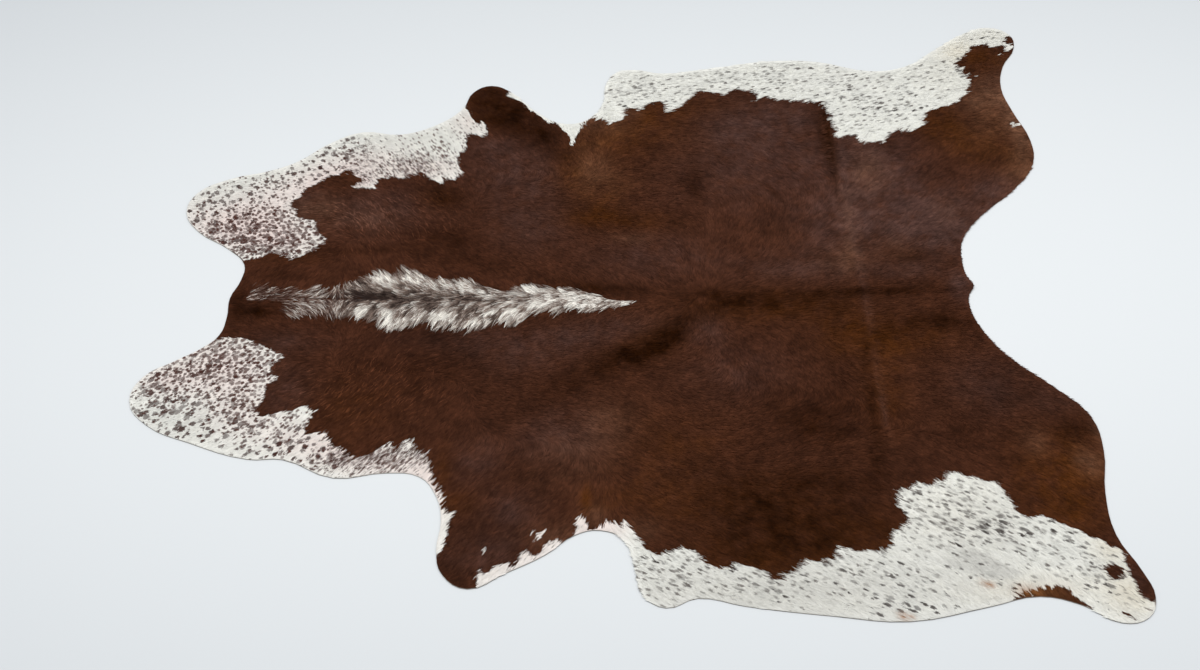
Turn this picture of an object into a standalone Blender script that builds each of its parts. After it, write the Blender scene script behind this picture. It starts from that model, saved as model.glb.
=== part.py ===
"""Cowhide rug: one whole hair-on hide, trimmed to its natural outline and lying flat on the floor.

The rug is a single piece, so it is a single solid. Its underside, the flesh side of the leather,
is flat. Its upper side is the level of the coat: thin at the cut edge, a few millimetres over the
body, thicker along the back where the long pale hair stands up on either side of its parting, and
raised a little where the hide was once folded.

+X runs along the back from the neck end to the tail end, +Y runs to the far side and +Z is up.
The origin is on the floor, under the middle of the rug. All lengths are in metres.
"""

import math
from collections import namedtuple

import bmesh
import bpy
from mathutils import Vector

# Thicknesses
SKIN = 0.0020  # tanned leather
COAT = 0.0030  # short hair lying flat on the body
EDGE_COAT = 0.0008  # what is left of the coat right above the cut edge
EDGE_FADE = 0.014  # how far in from the cut edge the coat reaches its full thickness

CURVE_STEPS = 4  # straight steps between two outline points

# The trimmed edge, clockwise from above, in the parts that a furrier would name.
Point = namedtuple("Point", "along across")
OUTLINE = {
    "neck edge": (
        Point(-0.990, -0.125),
        Point(-0.957, -0.088),
        Point(-0.945, -0.030),
        Point(-0.944, 0.035),
        Point(-0.923, 0.095),
        Point(-0.920, 0.150),
        Point(-0.965, 0.206),
    ),
    "far shoulder lobe": (
        Point(-1.048, 0.272),
        Point(-1.088, 0.345),
        Point(-1.068, 0.415),
        Point(-0.990, 0.465),
        Point(-0.890, 0.492),
        Point(-0.820, 0.523),
        Point(-0.730, 0.597),
        Point(-0.650, 0.634),
        Point(-0.550, 0.620),
        Point(-0.460, 0.650),
    ),
    "far foreleg": (
        Point(-0.385, 0.715),
        Point(-0.355, 0.785),
        Point(-0.307, 0.809),
        Point(-0.250, 0.776),
        Point(-0.190, 0.700),
        Point(-0.102, 0.642),
        Point(-0.030, 0.672),
    ),
    "far belly": (
        Point(-0.003, 0.720),
        Point(0.008, 0.800),
        Point(0.040, 0.849),
        Point(0.085, 0.859),
        Point(0.160, 0.840),
        Point(0.300, 0.855),
        Point(0.460, 0.878),
        Point(0.590, 0.869),
        Point(0.735, 0.823),
        Point(0.830, 0.837),
    ),
    "far hind leg": (
        Point(0.940, 0.917),
        Point(1.015, 0.972),
        Point(1.085, 0.995),
        Point(1.140, 0.962),
        Point(1.144, 0.905),
        Point(1.100, 0.825),
        Point(1.080, 0.735),
        Point(1.094, 0.640),
        Point(1.122, 0.520),
        Point(1.112, 0.430),
        Point(1.040, 0.330),
    ),
    "tail end": (
        Point(0.945, 0.242),
        Point(0.886, 0.160),
        Point(0.873, 0.090),
        Point(0.876, 0.035),
        Point(0.888, -0.002),
        Point(0.873, -0.030),
        Point(0.868, -0.075),
        Point(0.883, -0.140),
        Point(0.930, -0.232),
    ),
    "near hind leg": (
        Point(1.025, -0.338),
        Point(1.092, -0.430),
        Point(1.101, -0.530),
        Point(1.080, -0.650),
        Point(1.080, -0.765),
        Point(1.117, -0.865),
        Point(1.130, -0.930),
        Point(1.105, -0.982),
        Point(1.045, -0.993),
        Point(0.970, -0.945),
        Point(0.885, -0.920),
    ),
    "near belly": (
        Point(0.775, -0.942),
        Point(0.600, -0.973),
        Point(0.440, -0.953),
        Point(0.255, -0.921),
        Point(0.155, -0.897),
        Point(0.085, -0.919),
        Point(0.040, -0.885),
        Point(0.025, -0.815),
    ),
    "near foreleg": (
        Point(0.003, -0.738),
        Point(-0.050, -0.709),
        Point(-0.105, -0.720),
        Point(-0.170, -0.770),
        Point(-0.260, -0.817),
        Point(-0.340, -0.854),
        Point(-0.395, -0.815),
        Point(-0.410, -0.750),
        Point(-0.402, -0.670),
        Point(-0.415, -0.600),
    ),
    "near shoulder lobe": (
        Point(-0.455, -0.543),
        Point(-0.530, -0.529),
        Point(-0.650, -0.539),
        Point(-0.770, -0.481),
        Point(-0.850, -0.477),
        Point(-0.990, -0.423),
        Point(-1.095, -0.367),
        Point(-1.147, -0.290),
        Point(-1.125, -0.217),
        Point(-1.055, -0.168),
    ),
}

# The back line, and the band of long hair that lies along it from the neck to mid back.
Band = namedtuple("Band", "along line far near rise")
LONG_HAIR = (
    Band(along=-0.92, line=0.036, far=0.020, near=0.010, rise=0.0000),
    Band(along=-0.86, line=0.035, far=0.055, near=0.030, rise=0.0020),
    Band(along=-0.77, line=0.034, far=0.050, near=0.070, rise=0.0040),
    Band(along=-0.64, line=0.030, far=0.055, near=0.070, rise=0.0050),
    Band(along=-0.54, line=0.027, far=0.105, near=0.115, rise=0.0065),
    Band(along=-0.42, line=0.023, far=0.070, near=0.115, rise=0.0065),
    Band(along=-0.30, line=0.018, far=0.040, near=0.100, rise=0.0055),
    Band(along=-0.18, line=0.012, far=0.045, near=0.065, rise=0.0045),
    Band(along=-0.06, line=0.006, far=0.030, near=0.055, rise=0.0030),
    Band(along=0.06, line=0.000, far=0.015, near=0.030, rise=0.0000),
    Band(along=0.90, line=-0.006, far=0.015, near=0.030, rise=0.0000),
)
PARTING_WIDTH = 0.016  # half width of the furrow between the two combed sides
PARTING_DEPTH = 0.55  # share of the rise that the furrow takes away
WHORL_ALONG = -0.67  # the locks lie towards the neck on one side of it, to the tail on the other
LOCK_PITCH = 0.065  # from one lock of long hair to the next, along the back
LOCK_SLANT = 1.4  # how far a lock runs along the back for each unit it runs outwards
LOCK_DEPTH = 0.22  # share of the rise between a lock's crown and the dip beside it

# Where the hide was folded for the shop, and where it lies a little proud or hollow.
Fold = namedtuple("Fold", "name start end rise half_width")
FOLDS = (
    Fold("back fold", Point(0.100, 0.000), Point(0.885, -0.006), 0.0030, 0.024),
    Fold("cross fold, far side", Point(0.590, 0.700), Point(0.610, 0.000), 0.0028, 0.022),
    Fold("cross fold, near side", Point(0.610, 0.000), Point(0.600, -0.680), 0.0028, 0.022),
    Fold("loin hollow", Point(0.190, -0.030), Point(0.020, -0.230), -0.0010, 0.050),
    Fold("thigh crease", Point(0.770, -0.290), Point(0.768, -0.540), 0.0012, 0.036),
)

# Lines along which the surface can bend: an even net, and closer ones where it rises and falls.
BODY_STEP = 0.070  # the net over the whole hide
LOCK_STEP = 0.018  # across the locks of long hair
BACK_OFFSETS = (-0.120, -0.090, -0.060, -0.036, -0.016, 0.0, 0.016, 0.036, 0.060, 0.090, 0.120)
FOLD_SHARES = (-1.0, -0.5, 0.0, 0.5, 1.0)  # of a fold's half width, to either side of its crest
LINE_SNAP = 0.004  # a line this near a corner of the surface passes through the corner

HIDE_BROWN = (0.048, 0.019, 0.011, 1.0)  # most of the coat, linear values
HIDE_ROUGHNESS = 0.62


def clear_scene():
    for scene_object in list(bpy.data.objects):
        bpy.data.objects.remove(scene_object, do_unlink=True)


def new_collection(name):
    collection = bpy.data.collections.new(name)
    bpy.context.scene.collection.children.link(collection)
    return collection


def outline_curve(name):
    """A closed, filled 2D curve that runs smoothly through every outline point."""
    points = [point for part in OUTLINE.values() for point in part]
    curve = bpy.data.curves.new(name, "CURVE")
    curve.dimensions = "2D"
    curve.fill_mode = "BOTH"
    curve.resolution_u = CURVE_STEPS
    curve.render_resolution_u = CURVE_STEPS
    spline = curve.splines.new("BEZIER")
    spline.bezier_points.add(len(points) - 1)
    for knot, point in zip(spline.bezier_points, points):
        knot.co = (point.along, point.across, 0.0)
        knot.handle_left_type = "AUTO"
        knot.handle_right_type = "AUTO"
    spline.use_cyclic_u = True
    return curve


def flat_cut_out(curve, collection):
    """The mesh of the filled curve: the hide as a flat shape, before it has any thickness."""
    pattern = bpy.data.objects.new(curve.name, curve)
    collection.objects.link(pattern)
    bpy.context.view_layer.update()
    evaluated = pattern.evaluated_get(bpy.context.evaluated_depsgraph_get())
    mesh = bpy.data.meshes.new_from_object(evaluated)
    bpy.data.objects.remove(pattern, do_unlink=True)
    return mesh


def blend(value):
    """0 to 1 with soft ends."""
    value = min(max(value, 0.0), 1.0)
    return value * value * (3.0 - 2.0 * value)


def swell(offset, half_width):
    """1 on the crest and 0 from half_width on, round at both."""
    return 1.0 - blend(abs(offset) / half_width)


def distance_to_run(place, start, end):
    """Distance from a place to the straight run between two points."""
    run = end - start
    share = min(max((place - start).dot(run) / run.length_squared, 0.0), 1.0)
    return (place - start - share * run).length


def band_at(along):
    """The band's row for a place along the back, worked out between the two nearest rows."""
    along = min(max(along, LONG_HAIR[0].along), LONG_HAIR[-1].along)
    for before, after in zip(LONG_HAIR, LONG_HAIR[1:]):
        if along <= after.along:
            break
    share = (along - before.along) / (after.along - before.along)
    return Band(*(low + share * (high - low) for low, high in zip(before, after)))


def long_hair_rise(place):
    """Two combed sides with a furrow between them, each a row of slanting locks."""
    band = band_at(place.x)
    offset = place.y - band.line
    reach = band.far if offset > 0.0 else band.near
    from_whorl = place.x - WHORL_ALONG
    slant = math.copysign(LOCK_SLANT, from_whorl) * blend(abs(from_whorl) / LOCK_PITCH)
    turn = 2.0 * math.pi * (place.x + slant * abs(offset)) / LOCK_PITCH
    lock = LOCK_DEPTH * math.cos(turn) * (1.0 - swell(offset, 2.0 * PARTING_WIDTH))
    furrow = 1.0 - PARTING_DEPTH * swell(offset, PARTING_WIDTH)
    return band.rise * swell(offset, reach + PARTING_WIDTH) * (furrow + lock)


def fold_rise(place, fold):
    away = distance_to_run(place, Vector(fold.start), Vector(fold.end))
    return fold.rise * swell(away, fold.half_width)


def coat_top(place, to_edge):
    """Height of the upper side over the floor, from the place and its distance to the edge."""
    full = COAT + long_hair_rise(place) + sum(fold_rise(place, fold) for fold in FOLDS)
    return SKIN + EDGE_COAT + (full - EDGE_COAT) * blend(to_edge / EDGE_FADE)


def even_lines(low, high, step):
    """Evenly spaced places strictly between two limits, at most a step apart."""
    count = math.ceil((high - low) / step)
    return [low + (high - low) * k / count for k in range(1, count)]


def draw_lines(bm, direction, lines, crosses):
    """Cuts the faces whose middle passes the test along parallel lines, so that they can bend."""
    for line in lines:
        faces = [face for face in bm.faces if crosses(face.calc_center_median().to_2d())]
        edges = {edge for face in faces for edge in face.edges}
        verts = {vert for face in faces for vert in face.verts}
        bmesh.ops.bisect_plane(
            bm,
            geom=[*verts, *edges, *faces],
            dist=LINE_SNAP,
            plane_co=direction * line,
            plane_no=direction,
        )


def draw_net(bm):
    """An even net over the whole hide."""
    reach_x = max(abs(vert.co.x) for vert in bm.verts)
    reach_y = max(abs(vert.co.y) for vert in bm.verts)
    net_x = even_lines(-reach_x, reach_x, BODY_STEP)
    net_y = even_lines(-reach_y, reach_y, BODY_STEP)

    def anywhere(_middle):
        return True

    draw_lines(bm, Vector((1.0, 0.0, 0.0)), net_x, anywhere)
    draw_lines(bm, Vector((0.0, 1.0, 0.0)), net_y, anywhere)


def draw_back_lines(bm):
    """Closer lines along the band of long hair, and across its locks."""
    lock_ends = (LONG_HAIR[0].along, LONG_HAIR[-2].along)
    along_back = [band_at(sum(lock_ends) / 2.0).line + offset for offset in BACK_OFFSETS]

    def in_band(middle):
        inside = lock_ends[0] < middle.x < lock_ends[1]
        return inside and along_back[0] < middle.y < along_back[-1]

    draw_lines(bm, Vector((0.0, 1.0, 0.0)), along_back, in_band)
    draw_lines(bm, Vector((1.0, 0.0, 0.0)), even_lines(*lock_ends, LOCK_STEP), in_band)


def draw_fold_lines(bm, fold):
    """Closer lines beside a fold and on its crest."""
    start = Vector(fold.start)
    end = Vector(fold.end)
    side = (end - start).orthogonal().normalized()
    crest = side.dot(start)
    lines = [crest + share * fold.half_width for share in FOLD_SHARES]
    reach = fold.half_width + BODY_STEP / 2.0

    def near_fold(middle):
        return distance_to_run(middle, start, end) < reach

    draw_lines(bm, side.to_3d(), lines, near_fold)


def make_hide(collection):
    mesh = flat_cut_out(outline_curve("hide_outline"), collection)
    bm = bmesh.new()
    bm.from_mesh(mesh)
    bmesh.ops.remove_doubles(bm, verts=bm.verts[:], dist=0.0001)
    bmesh.ops.dissolve_limit(bm, angle_limit=0.01, verts=bm.verts[:], edges=bm.edges[:])
    outline = [[v.co.to_2d() for v in edge.verts] for edge in bm.edges if edge.is_boundary]

    # A ring just inside the cut edge, where the coat thins out, then the lines.
    bmesh.ops.inset_region(
        bm, faces=bm.faces[:], thickness=EDGE_FADE, use_even_offset=True, use_boundary=True
    )
    draw_net(bm)
    draw_back_lines(bm)
    for fold in FOLDS:
        draw_fold_lines(bm, fold)

    # The flesh side stays flat on the floor and the hair side is raised from it.
    raised = bmesh.ops.extrude_face_region(bm, geom=bm.faces[:], use_keep_orig=True)["geom"]
    for vert in raised:
        if isinstance(vert, bmesh.types.BMVert):
            place = vert.co.to_2d()
            to_edge = min(distance_to_run(place, start, end) for start, end in outline)
            vert.co.z = coat_top(place, to_edge)
    flesh_edges = [edge for edge in bm.edges if all(v.co.z == 0.0 for v in edge.verts)]
    bmesh.ops.dissolve_limit(bm, angle_limit=0.01, verts=[], edges=flesh_edges)
    bmesh.ops.recalc_face_normals(bm, faces=bm.faces[:])
    bmesh.ops.triangulate(bm, faces=bm.faces[:])

    # The origin is under the middle of the outline.
    middle_x = (max(v.co.x for v in bm.verts) + min(v.co.x for v in bm.verts)) / 2.0
    middle_y = (max(v.co.y for v in bm.verts) + min(v.co.y for v in bm.verts)) / 2.0
    bmesh.ops.translate(bm, verts=bm.verts[:], vec=(-middle_x, -middle_y, 0.0))
    bm.to_mesh(mesh)
    bm.free()

    mesh.name = "hide"
    mesh.shade_smooth()
    mesh.set_sharp_from_angle(angle=math.radians(40.0))
    hide = bpy.data.objects.new("hide", mesh)
    collection.objects.link(hide)
    return hide


def coat_material():
    material = bpy.data.materials.new("hair_on_leather")
    material.use_nodes = True
    shader = material.node_tree.nodes["Principled BSDF"]
    shader.inputs["Base Color"].default_value = HIDE_BROWN
    shader.inputs["Roughness"].default_value = HIDE_ROUGHNESS
    shader.inputs["Metallic"].default_value = 0.0
    material.diffuse_color = HIDE_BROWN
    return material


clear_scene()
rug = new_collection("cowhide_rug")
hide_object = make_hide(rug)
hide_object.data.materials.clear()
hide_object.data.materials.append(coat_material())
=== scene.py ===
"""Looks of the cowhide rug: one whole hair-on hide, laid flat on a pale floor.

+X runs along the back from the neck end to the tail end and +Y to the far side, in metres.
"""

import math
from collections import namedtuple

import bmesh
import bpy
import numpy as np
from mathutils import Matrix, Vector


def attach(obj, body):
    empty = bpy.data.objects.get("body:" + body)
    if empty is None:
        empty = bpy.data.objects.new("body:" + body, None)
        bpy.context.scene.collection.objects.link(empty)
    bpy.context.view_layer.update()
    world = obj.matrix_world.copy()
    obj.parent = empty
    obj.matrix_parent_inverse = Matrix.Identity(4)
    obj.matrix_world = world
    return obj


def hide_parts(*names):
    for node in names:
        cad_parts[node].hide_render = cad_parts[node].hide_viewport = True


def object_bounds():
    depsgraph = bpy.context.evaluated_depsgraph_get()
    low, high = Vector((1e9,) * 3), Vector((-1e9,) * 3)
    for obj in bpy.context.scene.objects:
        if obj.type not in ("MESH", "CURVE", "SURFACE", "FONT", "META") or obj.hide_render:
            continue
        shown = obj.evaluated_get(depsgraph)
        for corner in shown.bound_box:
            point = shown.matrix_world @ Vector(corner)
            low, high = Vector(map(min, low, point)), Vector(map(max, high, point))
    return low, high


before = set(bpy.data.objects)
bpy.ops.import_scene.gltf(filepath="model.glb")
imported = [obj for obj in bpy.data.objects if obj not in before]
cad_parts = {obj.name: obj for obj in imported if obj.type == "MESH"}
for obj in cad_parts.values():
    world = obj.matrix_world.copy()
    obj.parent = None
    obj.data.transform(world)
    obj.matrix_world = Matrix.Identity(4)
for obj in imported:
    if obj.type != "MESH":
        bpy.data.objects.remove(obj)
cad_low, cad_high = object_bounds()
bpy.ops.object.select_all(action="DESELECT")

# ------------------------------------------------------------------------------------------------
# The studio. A plain pale floor under an even pale sky and one long soft box, with the camera
# high on the near side. None of it is part of the rug.
# ------------------------------------------------------------------------------------------------
FLOOR_SIDE = 60.0
FLOOR_COLOUR = "#d8dbdd"
DAYLIGHT_COLOUR = "#eef3fa"
DAYLIGHT_STRENGTH = 0.62
SOFT_BOX_COLOUR = "#fffdf8"
SOFT_BOX_PLACE = (0.30, 0.0, 2.8)
SOFT_BOX_SIZE = (6.0, 0.5)
SOFT_BOX_WATTS = 92.0
CAMERA_PLACE = (-0.056, -3.212, 3.394)
CAMERA_TURN = (42.283, 0.998, -1.497)  # degrees
CAMERA_LENS = 57.0  # mm, with a sensor 36 mm wide


def linear(colour):
    """An sRGB hex colour as linear red, green, blue and alpha."""
    shares = [int(colour[digit : digit + 2], 16) / 255.0 for digit in (1, 3, 5)]
    return (*(s / 12.92 if s <= 0.04045 else ((s + 0.055) / 1.055) ** 2.4 for s in shares), 1.0)


def add_node(tree, kind, settings, inputs):
    """Adds a node. settings are its own choices; inputs are values, sockets or nodes to join."""
    node = tree.nodes.new("ShaderNode" + kind)
    for name, choice in settings.items():
        setattr(node, name, choice)
    for key, value in inputs.items():
        if isinstance(value, bpy.types.Node):
            value = next(output for output in value.outputs if output.enabled)
        if isinstance(value, bpy.types.NodeSocket):
            tree.links.new(value, node.inputs[key])
        else:
            node.inputs[key].default_value = value
    return node


bpy.ops.object.camera_add(
    location=CAMERA_PLACE, rotation=[math.radians(degrees) for degrees in CAMERA_TURN]
)
camera = bpy.context.object
camera.name = "camera"
camera.data.sensor_width = 36.0
camera.data.lens = CAMERA_LENS
bpy.context.scene.camera = camera

bpy.ops.mesh.primitive_plane_add(size=FLOOR_SIDE, location=(0.0, 0.0, -0.0002))
floor = bpy.context.object
floor.name = "floor"
floor_paint = bpy.data.materials.new("matt_floor_paint")
floor_paint.use_nodes = True
floor_shader = floor_paint.node_tree.nodes["Principled BSDF"]
floor_shader.inputs["Base Color"].default_value = linear(FLOOR_COLOUR)
floor_shader.inputs["Roughness"].default_value = 0.85
floor_shader.inputs["Specular IOR Level"].default_value = 0.2
floor.data.materials.append(floor_paint)

world = bpy.data.worlds.new("daylight")
bpy.context.scene.world = world
world.use_nodes = True
sky = world.node_tree.nodes["Background"]
sky.inputs["Color"].default_value = linear(DAYLIGHT_COLOUR)
sky.inputs["Strength"].default_value = DAYLIGHT_STRENGTH

bpy.ops.object.light_add(type="AREA", location=SOFT_BOX_PLACE)
soft_box = bpy.context.object
soft_box.name = "soft_box"
soft_box.data.shape = "RECTANGLE"
soft_box.data.size, soft_box.data.size_y = SOFT_BOX_SIZE
soft_box.data.energy = SOFT_BOX_WATTS
soft_box.data.color = linear(SOFT_BOX_COLOUR)[:3]

bpy.context.scene.view_settings.view_transform = "Standard"

# ------------------------------------------------------------------------------------------------
# The skin. A chrome-tanned cow skin about 2 mm thick, trimmed round its natural outline with a
# knife, with the hair left on. The flesh side is buffed to a suede. It lies flat on the floor,
# but for the ridges where it was once folded for the shop.
# ------------------------------------------------------------------------------------------------
SKIN = 0.0020
SKIN_GRID = 0.012  # how close the lines are along which the skin can bend
Ridge = namedtuple("Ridge", "start end rise half_width")
RIDGES = (  # the back fold, the cross fold's two halves, a hollow at the loin, a thigh crease
    Ridge((0.100, 0.000), (0.885, -0.006), 0.0026, 0.020),
    Ridge((0.590, 0.700), (0.603, 0.400), 0.0026, 0.018),
    Ridge((0.603, 0.400), (0.612, 0.000), 0.0026, 0.018),
    Ridge((0.612, 0.000), (0.606, -0.330), 0.0026, 0.018),
    Ridge((0.606, -0.330), (0.600, -0.680), 0.0026, 0.018),
    Ridge((0.190, -0.030), (0.020, -0.230), -0.0008, 0.045),
    Ridge((0.770, -0.290), (0.768, -0.540), 0.0012, 0.030),
    Ridge((0.405, 0.395), (0.450, 0.315), 0.0010, 0.012),
    Ridge((0.200, 0.425), (0.255, 0.330), 0.0010, 0.014),
)
WAVE_LENGTH = 0.34  # from one shallow wave of the skin to the next
WAVE_HEIGHT = 0.0007
EDGE_CURL = 0.0009  # how far the cut edge lifts, here and there
CURL_WIDTH = 0.05
CURL_LENGTH = 0.22
WELD = 0.00001  # points of the CAD's loose triangles that lie closer than this are one


def soft_step(value):
    """0 to 1 with soft ends."""
    value = np.clip(value, 0.0, 1.0)
    return value * value * (3.0 - 2.0 * value)


def uneven(x, y, grain, seed):
    """Smooth chance values from -1 to 1, about one hill or dip to every grain metres."""
    table = np.random.default_rng(seed).uniform(-1.0, 1.0, (256, 256))
    column, row = np.floor(x / grain).astype(int), np.floor(y / grain).astype(int)
    right, up = soft_step(x / grain - column), soft_step(y / grain - row)

    def corner(i, j):
        return table[(column + i) & 255, (row + j) & 255]

    low = corner(0, 0) * (1.0 - right) + corner(1, 0) * right
    high = corner(0, 1) * (1.0 - right) + corner(1, 1) * right
    return low * (1.0 - up) + high * up


def inside_by(ring, x, y):
    """Metres from each place to a closed line, more than 0 inside the line."""
    nearest, inside = np.full(x.shape, np.inf), np.zeros(x.shape, bool)
    for (ax, ay), (bx, by) in zip(ring, np.roll(ring, -1, axis=0)):
        along_x, along_y = bx - ax, by - ay
        share = ((x - ax) * along_x + (y - ay) * along_y) / (along_x**2 + along_y**2 + 1e-12)
        share = np.clip(share, 0.0, 1.0)
        away = (ax + share * along_x - x) ** 2 + (ay + share * along_y - y) ** 2
        nearest = np.minimum(nearest, away)
        if ay != by:
            inside ^= ((ay > y) != (by > y)) & (x < ax + (y - ay) * along_x / along_y)
    return np.where(inside, 1.0, -1.0) * np.sqrt(nearest)


def find_cut_line(node):
    """The closed line where the flesh side of the CAD hide meets its cut edge."""
    bm = bmesh.new()
    bm.from_mesh(node.data)
    bmesh.ops.remove_doubles(bm, verts=bm.verts[:], dist=WELD)
    upper = [face for face in bm.faces if face.normal.z > -0.9]
    bmesh.ops.delete(bm, geom=upper, context="FACES")
    steps = {}
    for edge in bm.edges:
        if edge.is_boundary:
            loop = edge.link_loops[0]
            steps[loop.vert.index] = loop.link_loop_next.vert
    places = {vert.index: vert.co.to_2d() for vert in bm.verts}
    here = next(iter(steps))
    line = []
    for _step in range(len(steps)):
        line.append(tuple(places[here]))
        here = steps[here].index
    bm.free()
    return np.array(line)


cut_line = find_cut_line(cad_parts["hide"])

# What is looked up for every hair is worked out once, on an even net.
NET = 0.004
net_x = np.arange(cad_low.x - 0.06, cad_high.x + 0.06, NET)
net_y = np.arange(cad_low.y - 0.06, cad_high.y + 0.06, NET)
net_places = np.meshgrid(net_x, net_y, indexing="ij")
edge_net = inside_by(cut_line, *net_places)


def read_net(net, x, y):
    """The values of a net at any places, even between its knots."""
    column = np.clip((x - net_x[0]) / NET, 0.0, len(net_x) - 1.001)
    row = np.clip((y - net_y[0]) / NET, 0.0, len(net_y) - 1.001)
    i, j = column.astype(int), row.astype(int)
    right, up = column - i, row - j
    low = net[i, j] * (1.0 - right) + net[i + 1, j] * right
    high = net[i, j + 1] * (1.0 - right) + net[i + 1, j + 1] * right
    return low * (1.0 - up) + high * up


def from_edge(x, y):
    """Metres in from the cut edge, less than 0 off the hide."""
    return read_net(edge_net, x, y)


def skin_height(x, y):
    """How far the flesh side is off the floor: ridges, shallow waves and a lifting edge."""
    height = WAVE_HEIGHT * np.maximum(uneven(x, y, WAVE_LENGTH, 11), 0.0)
    for ridge in RIDGES:
        (ax, ay), (bx, by) = ridge.start, ridge.end
        along_x, along_y = bx - ax, by - ay
        share = ((x - ax) * along_x + (y - ay) * along_y) / (along_x**2 + along_y**2)
        share = np.clip(share, 0.0, 1.0)
        away = np.hypot(ax + share * along_x - x, ay + share * along_y - y)
        height = height + ridge.rise * (1.0 - soft_step(away / ridge.half_width))
    curl = soft_step(1.0 - from_edge(x, y) / CURL_WIDTH)
    curl = curl * np.maximum(uneven(x, y, CURL_LENGTH, 12), 0.0)
    return np.maximum(height + EDGE_CURL * curl, 0.0)


def read_points(mesh):
    """The places of a mesh's points, one to a row."""
    points = np.empty(len(mesh.vertices) * 3)
    mesh.vertices.foreach_get("co", points)
    return points.reshape(-1, 3)


def new_object(name, mesh):
    """A mesh put into the scene under its own name."""
    piece = bpy.data.objects.new(name, mesh)
    bpy.context.scene.collection.objects.link(piece)
    return piece


def note(mesh, name, values):
    """Keeps one number, or three, with every point of a mesh for its material to read."""
    kind, field = ("FLOAT", "value") if values.ndim == 1 else ("FLOAT_VECTOR", "vector")
    attribute = mesh.attributes.new(name, kind, "POINT")
    attribute.data.foreach_set(field, values.astype(np.float32).ravel())


def map_from_above(mesh, places):
    """A map of the mesh as seen from above, filling the square, with a place for each corner."""
    flat = mesh.uv_layers.new(name="OFBake")
    low, high = places.min(axis=0), places.max(axis=0)
    flat.data.foreach_set("uv", ((places - low) / (high - low)).astype(np.float32).ravel())


def cut_skin():
    """The sheet: the cut line filled in, netted, given its thickness and laid on its ridges."""
    bm = bmesh.new()
    bm.faces.new([bm.verts.new((x, y, 0.0)) for x, y in cut_line])
    for axis, low, high in ((0, cad_low.x, cad_high.x), (1, cad_low.y, cad_high.y)):
        across = Vector((1.0, 0.0, 0.0)) if axis == 0 else Vector((0.0, 1.0, 0.0))
        for place in np.arange(low + SKIN_GRID, high, SKIN_GRID):
            bmesh.ops.bisect_plane(
                bm,
                geom=[*bm.verts, *bm.edges, *bm.faces],
                dist=0.0008,
                plane_co=across * place,
                plane_no=across,
            )
    bmesh.ops.recalc_face_normals(bm, faces=bm.faces[:])
    if sum(face.normal.z for face in bm.faces) > 0.0:
        bmesh.ops.reverse_faces(bm, faces=bm.faces[:])
    hair_side = bmesh.ops.extrude_face_region(bm, geom=bm.faces[:], use_keep_orig=True)["geom"]
    for part in hair_side:
        if isinstance(part, bmesh.types.BMVert):
            part.co.z = SKIN
        elif isinstance(part, bmesh.types.BMFace):
            part.normal_flip()
    bmesh.ops.recalc_face_normals(bm, faces=bm.faces[:])
    # The faces of the cut edge come in a chance order, so they are put in a fixed one.
    bm.faces.index_update()

    def order(face):
        """A face's place in the mesh: flat ones first, then those of the edge, in a round."""
        if abs(face.normal.z) > 0.5:
            return face.index
        middle = face.calc_center_median()
        return len(bm.faces) + math.pi + math.atan2(middle.y, middle.x)

    bm.faces.sort(key=order)
    mesh = bpy.data.meshes.new("hide_skin")
    bm.to_mesh(mesh)
    bm.free()
    points = read_points(mesh)
    points[:, 2] += skin_height(points[:, 0], points[:, 1])
    mesh.vertices.foreach_set("co", points.ravel())
    mesh.update()
    return mesh


skin_mesh = cut_skin()
skin_points = read_points(skin_mesh)

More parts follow.
